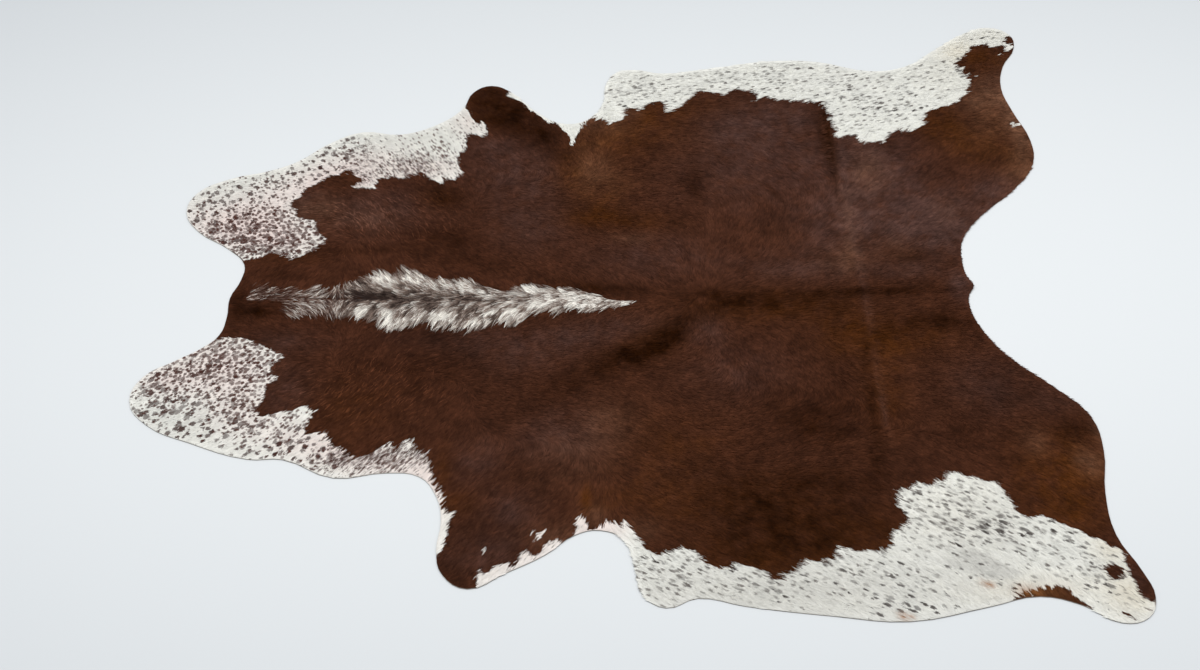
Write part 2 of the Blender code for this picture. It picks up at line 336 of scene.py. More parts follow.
# ------------------------------------------------------------------------------------------------
# The markings. White legs, belly and shoulders on a dark reddish brown coat, with a white band
# along the back. Their edges were read off in metres along and across the hide, and past the cut
# edge a line only closes the shape.
# ------------------------------------------------------------------------------------------------
WHITE_EDGES = {
    "far shoulder": """
    -.952 .197  -.935 .18  -.918 .165  -.893 .167  -.878 .17  -.871 .182  -.855 .188  -.842 .187
    -.827 .179  -.812 .175  -.797 .159  -.787 .168  -.775 .175  -.761 .187  -.747 .19  -.741 .197
    -.747 .205  -.725 .212  -.719 .235  -.727 .238  -.742 .252  -.744 .26  -.751 .267  -.751 .29
    -.755 .301  -.775 .304  -.785 .31  -.801 .313  -.802 .335  -.808 .345  -.82 .352  -.822 .368
    -.808 .382  -.8 .39  -.795 .405  -.785 .42  -.767 .432  -.75 .445  -.728 .467  -.705 .47
    -.692 .485  -.68 .489  -.672 .485  -.664 .466  -.65 .456  -.637 .452  -.61 .451  -.585 .45
    -.565 .453  -.55 .45  -.532 .454  -.52 .462  -.507 .466  -.495 .47  -.48 .465  -.472 .455
    -.462 .445  -.45 .435  -.44 .425  -.428 .416  -.431 .435  -.43 .444  -.415 .441  -.397 .437
    -.395 .45  -.381 .465  -.387 .482  -.397 .49  -.394 .52  -.39 .54  -.38 .547  -.377 .56
    -.37 .58  -.371 .592  -.372 .607  -.36 .615  -.35 .61  -.337 .606  -.325 .609  -.315 .617
    -.321 .637  -.327 .66  -.34 .652  -.351 .657  -.355 .67  -.362 .685  -.369 .702  -.376 .725
    -.43 .76  -1.2 .76  -1.2 .15  -.97 .15""",
    "far shoulder tuft": """
    -.672 .486  -.655 .472  -.64 .464  -.625 .458  -.602 .458  -.6 .43  -.613 .428  -.604 .411
    -.622 .413  -.64 .418  -.655 .415  -.668 .421  -.655 .431  -.642 .438  -.633 .446  -.64 .453
    -.652 .457  -.664 .466""",
    "far foreleg": """
    -.252 .8  -.25 .778  -.262 .775  -.267 .765  -.257 .757  -.245 .754  -.235 .744  -.22 .735
    -.206 .71  -.203 .7  -.19 .694  -.175 .675  -.157 .65  -.135 .651  -.127 .635  -.12 .625
    -.107 .61  -.098 .592  -.095 .58  -.093 .572  -.094 .557  -.09 .558  -.086 .575  -.079 .595
    -.072 .61  -.067 .625  -.06 .64  -.051 .645  -.048 .655  -.037 .659  -.025 .665  -.025 .72
    -.1 .69  -.18 .74  -.24 .8""",
    "far belly": """
    -.025 .665  -.017 .657  -.01 .662  -.002 .655  .006 .655  .009 .65  .011 .642  .007 .632
    .017 .637  .027 .645  .04 .65  .052 .655  .054 .665  .051 .69  .057 .695  .072 .7  .082 .697
    .087 .7  .092 .682  .097 .692  .102 .702  .11 .707  .125 .717  .135 .722  .147 .721  .155 .724
    .165 .717  .167 .7  .165 .682  .172 .675  .182 .68  .195 .69  .21 .7  .206 .703  .215 .715
    .23 .732  .24 .742  .252 .755  .265 .76  .282 .757  .3 .755  .315 .752  .322 .742  .33 .74
    .335 .747  .345 .755  .35 .762  .375 .762  .392 .757  .417 .745  .422 .735  .415 .72  .41 .712
    .42 .715  .43 .727  .44 .732  .447 .732  .455 .722  .475 .715  .5 .715  .507 .707  .52 .712
    .532 .711  .545 .702  .565 .702  .585 .7  .59 .687  .597 .677  .602 .67  .602 .655  .61 .642
    .6 .632  .594 .629  .602 .625  .605 .607  .617 .592  .62 .582  .612 .572  .609 .56  .62 .552
    .627 .557  .635 .56  .645 .565  .66 .565  .67 .56  .672 .542  .682 .54  .689 .53  .695 .537
    .71 .532  .722 .54  .736 .527  .742 .542  .747 .555  .757 .565  .772 .572  .777 .58  .782 .587
    .787 .575  .8 .575  .817 .57  .825 .577  .837 .587  .855 .595  .857 .625  .862 .642  .872 .652
    .9 .66  .91 .667  .935 .672  .955 .69  .97 .705  .985 .717  .987 .735  .997 .747  1 .77
    .992 .78  .995 .79  .982 .8  .99 .815  .996 .829  .987 .827  .98 .82  .975 .835  .968 .84
    .98 .852  .99 .865  1 .88  1.015 .892  1.017 .9  1.027 .915  1.035 .92  1.05 .917  1.062 .926
    1.072 .92  1.08 .907  1.085 .905  1.092 .91  1.105 .915  1.117 .917  1.12 .9  1.12 .887
    1.134 .895  1.141 .906  1.134 .918  1.124 .924  1.118 .936  1.128 .938  1.124 .948  1.137 .954
    1.147 .957  1.16 .985  1.16 1.06  -.06 1.06  -.06 .7""",
    "near belly": """
    1.125 -.95  1.117 -.942  1.107 -.932  1.097 -.925  1.092 -.905  1.092 -.885  1.085 -.865
    1.085 -.845  1.082 -.832  1.085 -.815  1.075 -.802  1.057 -.797  1.05 -.782  1.04 -.775
    1.022 -.772  1.01 -.757  1.002 -.749  .985 -.744  .97 -.732  .957 -.727  .942 -.72  .932 -.711
    .922 -.709  .91 -.714  .892 -.715  .88 -.7  .872 -.692  .87 -.675  .865 -.657  .857 -.637
    .85 -.622  .847 -.61  .835 -.612  .82 -.609  .807 -.601  .795 -.594  .78 -.595  .767 -.587
    .755 -.579  .745 -.582  .735 -.591  .732 -.6  .72 -.602  .71 -.601  .705 -.612  .692 -.614
    .677 -.612  .67 -.605  .662 -.619  .65 -.617  .655 -.63  .642 -.625  .635 -.62  .625 -.627
    .616 -.625  .627 -.637  .622 -.65  .617 -.655  .615 -.665  .617 -.675  .627 -.69  .635 -.705
    .637 -.717  .625 -.722  .615 -.732  .602 -.736  .6 -.745  .59 -.757  .59 -.775  .577 -.787
    .565 -.791  .55 -.791  .54 -.786  .53 -.79  .515 -.792  .502 -.791  .497 -.78  .485 -.78
    .475 -.776  .472 -.785  .472 -.797  .462 -.805  .45 -.812  .43 -.814  .41 -.812  .397 -.812
    .387 -.822  .38 -.83  .367 -.835  .36 -.842  .346 -.846  .352 -.855  .35 -.86  .335 -.861
    .322 -.859  .312 -.852  .316 -.846  .307 -.841  .31 -.835  .295 -.831  .285 -.822  .272 -.821
    .26 -.815  .247 -.81  .242 -.807  .237 -.821  .225 -.822  .215 -.827  .205 -.822  .195 -.817
    .182 -.81  .172 -.802  .165 -.791  .162 -.775  .155 -.774  .145 -.772  .13 -.766  .12 -.77
    .105 -.771  .095 -.776  .087 -.784  .072 -.782  .06 -.771  .05 -.765  .04 -.75  .037 -.74
    .032 -.727  .025 -.717  .017 -.705  .015 -.694  .007 -.69  0 -.693  -.001 -.707  -.012 -.693
    -.028 -.691  -.047 -.701  -.073 -.704  -.081 -.691  -.085 -.675  -.099 -.669  -.101 -.707
    -.108 -.723  -.112 -.76  0 -.8  0 -1.06  1.16 -1.06  1.16 -.965""",
    "near foreleg": """
    -.32 -.862  -.316 -.803  -.305 -.82  -.295 -.814  -.281 -.798  -.249 -.788  -.244 -.806
    -.231 -.792  -.228 -.766  -.217 -.763  -.204 -.776  -.185 -.771  -.175 -.755  -.167 -.736
    -.143 -.736  -.132 -.741  -.118 -.738  -.12 -.8  -.25 -.88""",
    "near foreleg front": """
    -.441 -.509  -.43 -.535  -.425 -.555  -.408 -.583  -.4 -.612  -.398 -.632  -.391 -.648
    -.372 -.653  -.383 -.67  -.388 -.7  -.393 -.725  -.4 -.756  -.43 -.76  -.47 -.7  -.47 -.56""",
    "near shoulder": """
    -.952 -.102  -.937 -.097  -.922 -.1  -.907 -.099  -.892 -.104  -.877 -.11  -.867 -.117
    -.857 -.125  -.847 -.129  -.837 -.137  -.827 -.141  -.817 -.147  -.815 -.155  -.805 -.155
    -.796 -.167  -.802 -.175  -.81 -.182  -.817 -.178  -.82 -.2  -.822 -.217  -.812 -.222
    -.805 -.227  -.801 -.237  -.808 -.243  -.817 -.242  -.825 -.252  -.83 -.267  -.83 -.285
    -.835 -.305  -.842 -.325  -.844 -.335  -.837 -.347  -.825 -.35  -.812 -.347  -.797 -.345
    -.785 -.336  -.777 -.342  -.765 -.337  -.757 -.336  -.75 -.33  -.74 -.325  -.727 -.324
    -.722 -.33  -.715 -.337  -.7 -.337  -.707 -.345  -.712 -.35  -.717 -.365  -.72 -.375
    -.727 -.392  -.725 -.41  -.712 -.41  -.702 -.407  -.7 -.4  -.692 -.407  -.68 -.404  -.671 -.41
    -.675 -.417  -.667 -.425  -.66 -.44  -.65 -.45  -.637 -.459  -.627 -.47  -.617 -.475  -.605 -.48
    -.59 -.482  -.575 -.477  -.56 -.467  -.55 -.457  -.542 -.45  -.527 -.447  -.52 -.452
    -.515 -.462  -.507 -.47  -.5 -.455  -.495 -.437  -.485 -.435  -.477 -.447  -.472 -.457
    -.462 -.475  -.455 -.472  -.445 -.48  -.444 -.492  -.43 -.506  -.44 -.52  -.447 -.525
    -.445 -.535  -.44 -.55  -.46 -.62  -1.22 -.62  -1.22 -.1""",
    "foreleg fleck": "-.192 -.726  -.186 -.713  -.170 -.704  -.175 -.716  -.183 -.724",
    "foreleg speck": "-.203 -.711  -.198 -.707  -.193 -.706  -.198 -.711",
    "foreleg stroke": "-.309 -.765  -.308 -.752  -.305 -.748  -.305 -.760",
    "far hock fleck": "1.092 .872  1.097 .876  1.104 .879  1.101 .874",
    "far thigh fleck": "1.015 .784  1.020 .788  1.026 .789  1.021 .784",
    "hind leg fleck": """
    1.077 .587  1.082 .59  1.09 .586  1.106 .582  1.106 .579  1.091 .581  1.087 .574  1.081 .571
    1.085 .581""",
}
BROWN_EDGES = {  # brown again, inside the white
    "hock spot": """
    1.026 -.857  1.034 -.852  1.033 -.845  1.041 -.848  1.044 -.841  1.052 -.846  1.06 -.843
    1.068 -.847  1.076 -.855  1.079 -.866  1.075 -.877  1.066 -.883  1.054 -.887  1.043 -.884
    1.048 -.878  1.034 -.877  1.041 -.87  1.03 -.866  1.04 -.861""",
    "hind toe marks": "1.104 -.960  1.110 -.967  1.117 -.964  1.113 -.957",
    "hind heel mark": "1.046 -.966  1.052 -.972  1.062 -.978  1.064 -.973  1.054 -.965",
    "hind heel speck": "1.067 -.980  1.070 -.986  1.077 -.988  1.075 -.981",
    "belly's red edge": """
    .826 -.926  .838 -.91  .846 -.914  .852 -.9  .86 -.908  .868 -.9  .878 -.906  .888 -.896
    .898 -.901  .904 -.892  .914 -.899  .924 -.892  .932 -.9  .94 -.895  .946 -.908  .954 -.904
    .954 -.918  .962 -.928  .978 -.94  .988 -.952  .96 -.962  .93 -.942  .88 -.937  .84 -.947""",
}
# A greyish patch on the thigh, where the hair is worn short.
WORN_PATCH = """
    .695 -.82  .715 -.806  .735 -.793  .7525 -.7875  .772 -.796  .795 -.812  .815 -.828  .84 -.846
    .86 -.86  .845 -.868  .82 -.87  .795 -.874  .77 -.866  .745 -.852  .72 -.842  .705 -.835"""
WORN_EDGE = 0.006  # how wide its edge is
BACK_BAND = """
    -.904 .035  -.897 .046  -.89 .068  -.887 .088  -.88 .071  -.868 .071  -.861 .082  -.851 .069
    -.836 .069  -.821 .073  -.807 .065  -.787 .063  -.771 .05  -.752 .052  -.741 .063  -.731 .075
    -.722 .071  -.72 .059  -.711 .05  -.701 .071  -.695 .052  -.68 .065  -.669 .069  -.65 .073
    -.635 .086  -.623 .095  -.608 .103  -.593 .109  -.576 .12  -.562 .109  -.555 .099  -.543 .103
    -.532 .111  -.526 .134  -.521 .118  -.515 .107  -.508 .101  -.502 .12  -.488 .103  -.471 .088
    -.452 .078  -.437 .08  -.42 .075  -.401 .073  -.374 .077  -.357 .071  -.344 .05  -.321 .046
    -.302 .029  -.277 .025  -.257 .029  -.253 .04  -.238 .046  -.219 .05  -.196 .046  -.177 .042
    -.158 .027  -.139 .027  -.127 .032  -.105 .029  -.082 .022  -.065 .016  -.059 .008  -.049 0
    -.025 -.003  -.017 -.013  .002 -.017  .03 -.021  .048 -.024  .06 -.019  .078 -.012  .066 -.021
    .05 -.025  .034 -.028  .015 -.032  .002 -.035  -.029 -.041  -.055 -.047  -.078 -.049
    -.093 -.043  -.112 -.041  -.127 -.047  -.148 -.06  -.154 -.047  -.177 -.041  -.196 -.045
    -.211 -.053  -.219 -.068  -.234 -.083  -.249 -.097  -.268 -.095  -.279 -.085  -.291 -.079
    -.306 -.083  -.325 -.098  -.35 -.106  -.359 -.095  -.39 -.102  -.401 -.098  -.42 -.095
    -.437 -.099  -.452 -.076  -.475 -.072  -.502 -.087  -.524 -.091  -.547 -.095  -.566 -.083
    -.585 -.064  -.608 -.057  -.635 -.051  -.65 -.045  -.669 -.043  -.688 -.047  -.701 -.041
    -.722 -.043  -.741 -.041  -.76 -.045  -.779 -.043  -.783 -.022  -.794 -.038  -.802 -.03
    -.817 -.026  -.815 -.003  -.809 .008  -.821 .023  -.859 .029  -.882 .021  -.895 .019"""

# Soft differences of tone. Each row is a soft oval: its middle along and across, half length, half
# width, turn in degrees, and strength.
TONES = {
    # Besides the coat's own dark areas, these ovals are painted shade: thin dark lines along the
    # folds and creases, and the hollow at the loin.
    "darker": """
    -.285 .715 .1 .07 -50 .8   -.18 .6 .11 .05 -45 .75   -.43 .37 .06 .05 -25 .6
    -.44 .225 .1 .04 -8 .45   -.35 .13 .12 .03 -12 .35   -.08 .04 .1 .03 -10 .5
    .03 .02 .1 .02 -5 .5   .14 -.13 .1 .035 45 .95   .05 -.19 .08 .035 20 .95
    -.08 -.26 .12 .035 30 .5   -.22 -.37 .12 .03 30 .3   .3 -.66 .14 .1 -20 .6
    .33 -.77 .18 .06 0 .55   .45 -.6 .16 .04 6 .45   .42 -.42 .09 .05 -30 .4
    .38 -.33 .05 .05 0 .35   .47 -.42 .06 .08 0 .35   .5 -.7 .12 .08 0 .35   .54 -.35 .05 .25 0 .25
    .3 -.03 .09 .04 0 .7   .46 -.04 .14 .04 0 .55   .62 -.01 .12 .018 0 .5   .75 -.01 .12 .02 0 .45
    .23 0 .03 .015 0 .7   .9 -.01 .01 .02 0 .35   .592 -.4 .01 .25 0 .5   .75 .11 .06 .03 5 .7
    .66 .05 .05 .03 0 .1   .586 .56 .009 .14 0 1.2   .572 .6 .02 .1 0 .3   .59 .4 .007 .12 0 .4
    .85 -.125 .03 .02 0 .5   .8 -.11 .08 .03 0 .4   .74 .515 .03 .02 -20 .5   .83 .42 .04 .07 0 .3
    .97 .5 .1 .04 -42 .2   1.02 .44 .05 .05 0 .25   .9 .58 .05 .04 0 .15   1.04 .87 .06 .05 0 .15
    -.29 -.7 .07 .06 0 .4   -.38 -.82 .04 .04 0 .25   -.23 -.55 .05 .06 0 .35
    -.88 -.015 .07 .03 0 .8   -.925 .04 .03 .03 0 .6   -.84 .11 .1 .015 -5 .3
    -.62 .185 .12 .015 0 .45   -.4 -.17 .1 .06 -15 .35   -.43 -.1 .1 .03 0 .3   .9 -.33 .09 .08 0 .4
    .8 -.47 .05 .06 0 .25   1.05 -.47 .04 .05 0 .45   .215 .375 .012 .05 30 .5
    .425 .355 .01 .05 30 .6   .23 .42 .03 .03 0 .35   -.02 .27 .12 .045 -5 .35
    .45 .22 .06 .08 0 .2   .67 -.14 .1 .05 0 .45   .78 -.12 .05 .03 0 .3   .23 .4 .02 .12 0 .3
    .4 .3 .02 .1 20 .2   -.38 .2 .1 .05 0 .15   -.45 -.22 .16 .1 0 .25   -.6 -.3 .12 .1 0 .2
    -.37 -.45 .05 .05 0 .15   .67 .4 .05 .06 0 .15   -.16 -.54 .05 .04 0 .15
    .585 -.52 .012 .08 0 .35   -.58 .35 .1 .07 0 .12""",
    "warmer": """
    -.05 .47 .05 .12 -8 .45   -.02 .33 .05 .06 -20 .45   .05 .265 .12 .035 -5 .5
    -.05 .275 .06 .03 0 .4   .12 .67 .08 .05 0 .5   .03 .55 .12 .1 0 .3   .27 .7 .1 .04 0 .3
    .96 .52 .13 .06 -42 .8   .9 .6 .06 .05 0 .5   1.05 .86 .06 .06 0 .8   1.08 .45 .05 .08 0 .4
    .66 -.17 .14 .06 5 .65   .63 -.33 .05 .12 -6 .5   .57 -.13 .07 .05 0 .5   .4 -.05 .2 .05 0 .6
    .98 -.6 .1 .12 0 .7   1.05 -.55 .05 .07 0 .6   1 -.7 .07 .05 -30 .5   .1 -.64 .16 .08 -15 .4
    .15 -.48 .12 .08 0 .25   .3 -.8 .16 .05 0 .6   .5 -.74 .16 .06 0 .5   .35 -.65 .15 .08 0 .4
    -.078 -.625 .01 .035 0 1.2   -.04 -.64 .04 .03 0 .3   -.37 -.62 .05 .03 -10 .45
    -.4 -.52 .02 .06 0 .5   -.62 -.35 .12 .1 0 .25   .08 -.16 .1 .05 30 .4   -.3 .71 .1 .06 -50 .4
    -.7 .44 .07 .05 0 .2   -.8 .17 .08 .03 0 .3   -.43 .37 .06 .04 0 .4   .9 -.915 .07 .03 0 .85
    .03 .6 .08 .06 0 .6   -.1 .47 .04 .1 0 .5   1.04 .62 .05 .1 0 .4   .59 .55 .012 .12 0 .6
    .2 .6 .08 .1 0 .25   .02 .4 .06 .06 0 .3   .05 -.45 .12 .12 0 .15""",
    # The mauve ovals are partly the coat's own tone and partly painted sheen, the pale sky caught
    # on the hair, as on the far side of the cross fold.
    "mauve": """
    .4 .5 .22 .2 0 .55   .48 .64 .12 .06 0 .4   .33 .62 .08 .08 0 .3   .7 .42 .12 .14 0 .9
    .81 .22 .11 .1 -10 1.3   .62 .25 .06 .1 0 .6   .72 .06 .08 .03 0 .5   .45 .08 .14 .05 0 .4
    1.08 .7 .04 .1 0 .4   1 .33 .1 .07 40 .7   -.22 .45 .14 .12 0 .55   -.3 .56 .08 .05 0 .4
    -.6 .33 .14 .08 0 .6   -.78 .37 .05 .06 0 .4   -.2 .25 .1 .08 0 .45   .1 .13 .15 .07 0 .4
    -.35 -.14 .16 .06 -10 .45   -.05 -.12 .17 .045 8 .5   .22 -.12 .05 .05 0 .5
    .3 -.26 .12 .08 0 .3   -.12 -.44 .12 .08 0 .45   -.33 -.5 .06 .06 0 .35   -.25 -.65 .06 .06 0 .5
    -.3 -.76 .08 .05 0 .45   .88 -.33 .08 .08 0 .5   1.02 -.38 .05 .05 0 .3   -.78 -.28 .06 .08 0 .4
    -.8 -.12 .1 .04 0 .35   .617 .3 .008 .4 0 .6   .62 -.12 .006 .1 0 .8   .618 -.36 .006 .08 0 .9
    1.09 -.9 .03 .04 0 .4   .86 0 .03 .05 0 .8   -.2 -.2 .12 .05 20 .2   .54 .2 .08 .12 0 .4""",
    # The lighter ovals are partly the coat's own lighter hair and partly painted sheen, as on the
    # near thigh.
    "lighter": """
    -.03 .655 .04 .03 0 .4   .06 .675 .03 .02 0 .5   1.1 .58 .03 .16 0 .8   1.06 .72 .05 .06 0 .55
    -.04 .47 .05 .09 0 .35   .68 .42 .05 .08 0 .3   .86 .26 .04 .05 0 .1   -.1 -.5 .09 .08 0 .12
    -.02 -.4 .06 .06 0 .2   1.06 -.56 .03 .04 0 .6   .95 -.5 .03 .04 0 .3   -.06 -.67 .03 .03 0 .3
    -.75 .34 .06 .05 0 .3   -.62 .3 .1 .06 0 .12   .9 -.915 .07 .03 0 .2   1.08 .4 .05 .06 0 .3
    .61 .25 .02 .1 0 .2   .6 .12 .02 .06 0 .25   .02 .62 .07 .05 0 .25   1.02 .62 .06 .1 0 .28
    1.11 -.46 .02 .08 0 .4   -.15 -.72 .06 .03 0 .3   .04 -.71 .04 .03 0 .25   .05 .2 .05 .02 0 .2
    .95 .52 .1 .05 -42 .05   .57 .1 .06 .04 0 .2   .02 .4 .06 .06 0 .1   1 .68 .04 .03 0 .4
    .72 .14 .04 .04 0 .15""",
    "pinker": """
    -.96 .31 .15 .09 10 .8   -.74 .46 .16 .06 28 .8   -.94 -.19 .12 .1 -10 .8
    -.62 -.47 .22 .06 -20 .8   -.2 -.76 .2 .06 30 .6   -.05 -.7 .06 .04 0 .7   -.43 -.6 .06 .14 0 .6
    -1.07 -.23 .06 .04 0 .6   -.85 .24 .12 .07 -10 .8   -.5 .48 .14 .05 0 .6
    -.88 -.32 .08 .08 0 .4   -.36 .66 .05 .06 0 .5   -.64 .44 .04 .025 0 .7""",
    "creamier": """
    .86 -.9 .14 .04 0 .4   1.08 -.92 .06 .06 0 .6   1.06 -.8 .04 .04 0 .5   .93 .79 .07 .08 40 .1
    .985 .895 .05 .045 40 .5   1.08 .96 .06 .04 0 .15   .2 -.88 .14 .05 0 .1   .45 -.9 .16 .06 0 .12
    .75 -.7 .14 .1 0 .15""",
    "streaks": """
    -.62 -.49 .07 .03 0 .3   -.5 -.475 .07 .04 0 .3   -.43 -.5 .03 .03 0 .2   -.56 -.5 .1 .03 0 .2
    -.5 .49 .1 .05 0 .22   -.58 .54 .1 .06 0 .12   -.42 .52 .04 .1 0 .08   -.66 .47 .05 .04 0 .2
    -.86 .19 .05 .02 0 .3   .05 -.79 .04 .05 0 .1   .12 -.83 .06 .05 0 .08   .33 -.88 .06 .03 0 .08
    .55 -.94 .07 .025 0 .12   .72 -.86 .05 .025 0 .08   .79 -.73 .05 .05 -20 .1
    .84 -.74 .03 .03 0 .12   1.02 -.87 .07 .06 0 .08   1.07 -.93 .04 .03 0 .12
    .72 .66 .1 .09 0 .06   -.2 -.75 .12 .04 30 .15   -.64 .438 .03 .018 0 .25""",
    "greyer": """
    .765 -.815 .05 .016 -24 .3   .8 -.85 .05 .012 -20 .3   -.1 -.705 .012 .01 0 .5
    .035 -.745 .01 .02 0 .35   .63 .622 .012 .012 0 .4   .12 .712 .03 .008 0 .35
    -.31 -.806 .01 .006 0 .6   .35 -.88 .45 .1 0 .6   .78 -.72 .2 .1 0 .25   .35 .82 .45 .08 0 .08
    -.5 .6 .14 .05 0 .25   -1.02 -.36 .12 .06 0 .3   -1 .42 .1 .06 30 .2   .8 -.9 .08 .04 0 .15""",
    "large ticks": """
    -1.07 .35 .02 .04 0 .8   -1.05 .34 .12 .12 0 .7   -.9 .42 .12 .08 0 .5   -.78 .5 .1 .05 25 .8
    -.7 .56 .06 .05 0 .45   -.97 .27 .08 .05 0 .8   -.88 .22 .1 .04 -20 .8   -.64 .6 .08 .03 0 .5
    -1.1 -.27 .08 .12 0 .95   -.98 -.33 .12 .1 0 .8   -.84 -.42 .1 .07 0 .7   -.68 -.5 .1 .05 0 .8
    -.97 -.19 .06 .08 0 .5   .09 -.81 .05 .05 0 .8   .3 -.86 .14 .04 0 .6   .34 -.88 .05 .03 0 .7
    .5 -.85 .12 .05 0 .45   .55 -.94 .07 .03 0 .9   .46 -.82 .05 .02 0 .5   .68 -.66 .1 .06 0 .5
    .78 -.73 .14 .06 -20 .9   .84 -.74 .05 .04 0 .6   .95 -.77 .1 .05 -25 .7   1 -.84 .06 .04 0 .2
    1.04 -.9 .07 .04 0 .8   .72 -.86 .04 .025 0 .8   .82 -.885 .04 .02 0 .7   .62 -.91 .06 .04 0 .8
    .66 -.95 .04 .02 0 .7   .07 .73 .07 .06 0 .35   .25 .8 .2 .05 0 .2   .45 .82 .12 .04 0 .2
    .685 .79 .015 .04 0 .8   .74 .69 .1 .06 0 .65   .8 .66 .06 .05 0 .4   .62 .72 .03 .03 0 .4
    .65 .62 .05 .05 0 .4   .95 .77 .08 .05 0 .18   1.06 .955 .05 .03 0 .45   1.12 .96 .03 .02 0 .5
    .5 .86 .1 .02 0 .5   -.54 -.5 .1 .05 0 .6   -.52 .5 .1 .035 0 .5   -.96 -.15 .08 .05 0 .5
    -.86 .23 .12 .05 -10 .5   1 -.88 .02 .02 0 .3   .32 -.88 .03 .02 0 .5   .11 -.86 .02 .03 0 .6
    -.85 .23 .11 .04 -10 .4   -1.09 -.27 .04 .05 0 .5   -.76 -.42 .06 .04 20 .6
    -.88 -.35 .05 .06 0 .4   -.68 -.47 .04 .03 0 .4   -1 -.38 .06 .04 0 .3""",
    "fine ticks": """
    -.78 .245 .08 .06 0 .9   -.93 .19 .06 .03 0 .8   -.85 .27 .12 .06 -10 1.2
    -.88 .21 .1 .04 -20 1.2   -1 .28 .1 .08 0 .8   -.86 .33 .06 .03 0 1   -.9 .42 .12 .08 0 .5
    -.65 .53 .08 .05 0 .8   -.5 .5 .06 .04 0 1   -.55 .47 .08 .02 0 .8   -.45 .56 .08 .06 0 .5
    -.7 .55 .05 .04 0 .45   -.93 -.17 .09 .09 0 1.2   -.84 -.23 .05 .1 0 1.1
    -1.03 -.18 .08 .08 0 .9   -.9 -.32 .1 .06 0 .5   -.78 -.37 .07 .04 30 .8   -.62 -.5 .1 .03 0 1
    -.5 -.49 .07 .05 0 1.1   -1.08 -.3 .08 .1 0 .5   .3 -.85 .3 .06 0 .6   .7 -.74 .16 .08 0 .7
    .95 -.82 .12 .07 -20 .35   .08 .77 .12 .06 0 .7   .45 .8 .3 .06 0 .75   .7 .68 .14 .1 0 .7
    .9 .8 .1 .08 0 .4   .1 -.82 .08 .06 0 .6   -.56 -.485 .12 .035 0 .3   -.55 .49 .12 .03 0 .15
    -.48 .58 .1 .06 0 .2   -.84 .25 .12 .05 -10 .8   -.92 -.14 .1 .05 0 .7   -.87 -.2 .05 .06 0 .4
    .79 -.66 .08 .05 0 .4   .66 -.64 .06 .04 0 .3   -.83 .24 .11 .045 -10 .6
    -.93 -.15 .08 .04 0 .4   -1.08 -.26 .05 .04 0 .5   -.77 -.43 .07 .04 20 .6
    -.88 -.34 .06 .08 0 .5   -.67 -.47 .05 .03 0 .6   .75 -.64 .12 .04 0 .5   .9 -.77 .06 .03 -20 .2
    -.45 .58 .1 .06 0 .15   -.365 .66 .035 .05 0 .6   -1.09 -.27 .04 .04 0 .3""",
    "ginger": """
    .778 -.886 .009 .007 0 1.1   .594 -.962 .01 .008 0 1.2   .858 -.905 .022 .014 0 .4
    .9 -.912 .05 .018 0 .12""",
    "pale hairs": """
    -.6 -.28 .12 .08 0 1   -.6 .3 .14 .09 0 1   -.48 -.23 .08 .06 0 .5""",
    "band whiter": """
    -.575 .088 .026 .022 0 .9   -.51 .082 .022 .024 -50 .8   -.46 .066 .04 .01 -45 .7
    -.41 .058 .024 .012 -30 .7   -.368 .04 .022 .016 -40 .8   -.33 .02 .04 .008 -20 .4
    -.21 .03 .03 .014 0 .4   -.13 .005 .1 .03 -6 .3   -.615 -.035 .014 .018 0 .8
    -.56 -.055 .016 .028 0 .9   -.53 -.078 .02 .012 40 .8   -.475 -.055 .03 .012 50 .6
    -.43 -.058 .014 .02 60 .9   -.4 -.06 .014 .022 60 .6   -.35 -.082 .024 .012 40 .9
    -.312 -.05 .022 .014 60 .8   -.255 -.055 .026 .028 0 .8   -.195 -.025 .03 .016 0 .7
    -.05 -.02 .08 .024 0 .2   -.9 .045 .012 .02 0 .3   -.738 .04 .02 .02 0 .5
    -.75 -.015 .04 .02 0 .4   -.625 -.02 .016 .016 0 .3   -.72 .065 .01 .008 0 .4""",
    "band darker": """
    -.6 .02 .05 .012 0 .9   -.53 .014 .05 .009 0 .5   -.61 .075 .02 .014 -40 .6
    -.545 .105 .012 .008 0 .6   -.54 -.02 .03 .012 40 .4   -.59 -.045 .01 .02 0 .5
    -.5 -.05 .014 .014 50 .5   -.455 -.03 .016 .012 50 .4   -.38 -.06 .012 .016 60 .6
    -.335 -.06 .012 .016 60 .6   -.28 -.05 .01 .016 60 .5   -.4 .003 .08 .01 -3 .3
    -.25 0 .04 .012 0 .4   -.395 .045 .01 .014 -40 .5   -.345 .045 .01 .012 -40 .5
    -.7 .015 .05 .02 0 .2   -.79 .03 .03 .014 0 .4   -.79 -.01 .01 .018 0 .6
    -.69 .02 .016 .04 0 .3   -.86 .05 .03 .014 0 .2   -.64 .06 .03 .03 0 .45
    -.82 .045 .03 .02 0 .35   -.605 .022 .055 .014 0 .55""",
}


def read_table(text, columns):
    """A table of numbers, so many to a row."""
    return np.array(text.split(), float).reshape(-1, columns)


def inside_any(edges, x, y):
    """Metres inside the nearest of several shapes, less than 0 outside all of them."""
    depth = np.full(x.shape, -1.0)
    for text in edges.values():
        ring = read_table(text, 2)
        low, high = ring.min(axis=0) - 0.02, ring.max(axis=0) + 0.02
        near = (x > low[0]) & (x < high[0]) & (y > low[1]) & (y < high[1])
        depth[near] = np.maximum(depth[near], inside_by(ring, x[near], y[near]))
    return depth


def in_white(x, y):
    """Metres inside the white markings, less than 0 in the brown."""
    return np.minimum(inside_any(WHITE_EDGES, x, y), -inside_any(BROWN_EDGES, x, y))


def turned(right, up, angle):
    """Directions or places turned to the left by an angle."""
    return right * np.cos(angle) - up * np.sin(angle), up * np.cos(angle) + right * np.sin(angle)


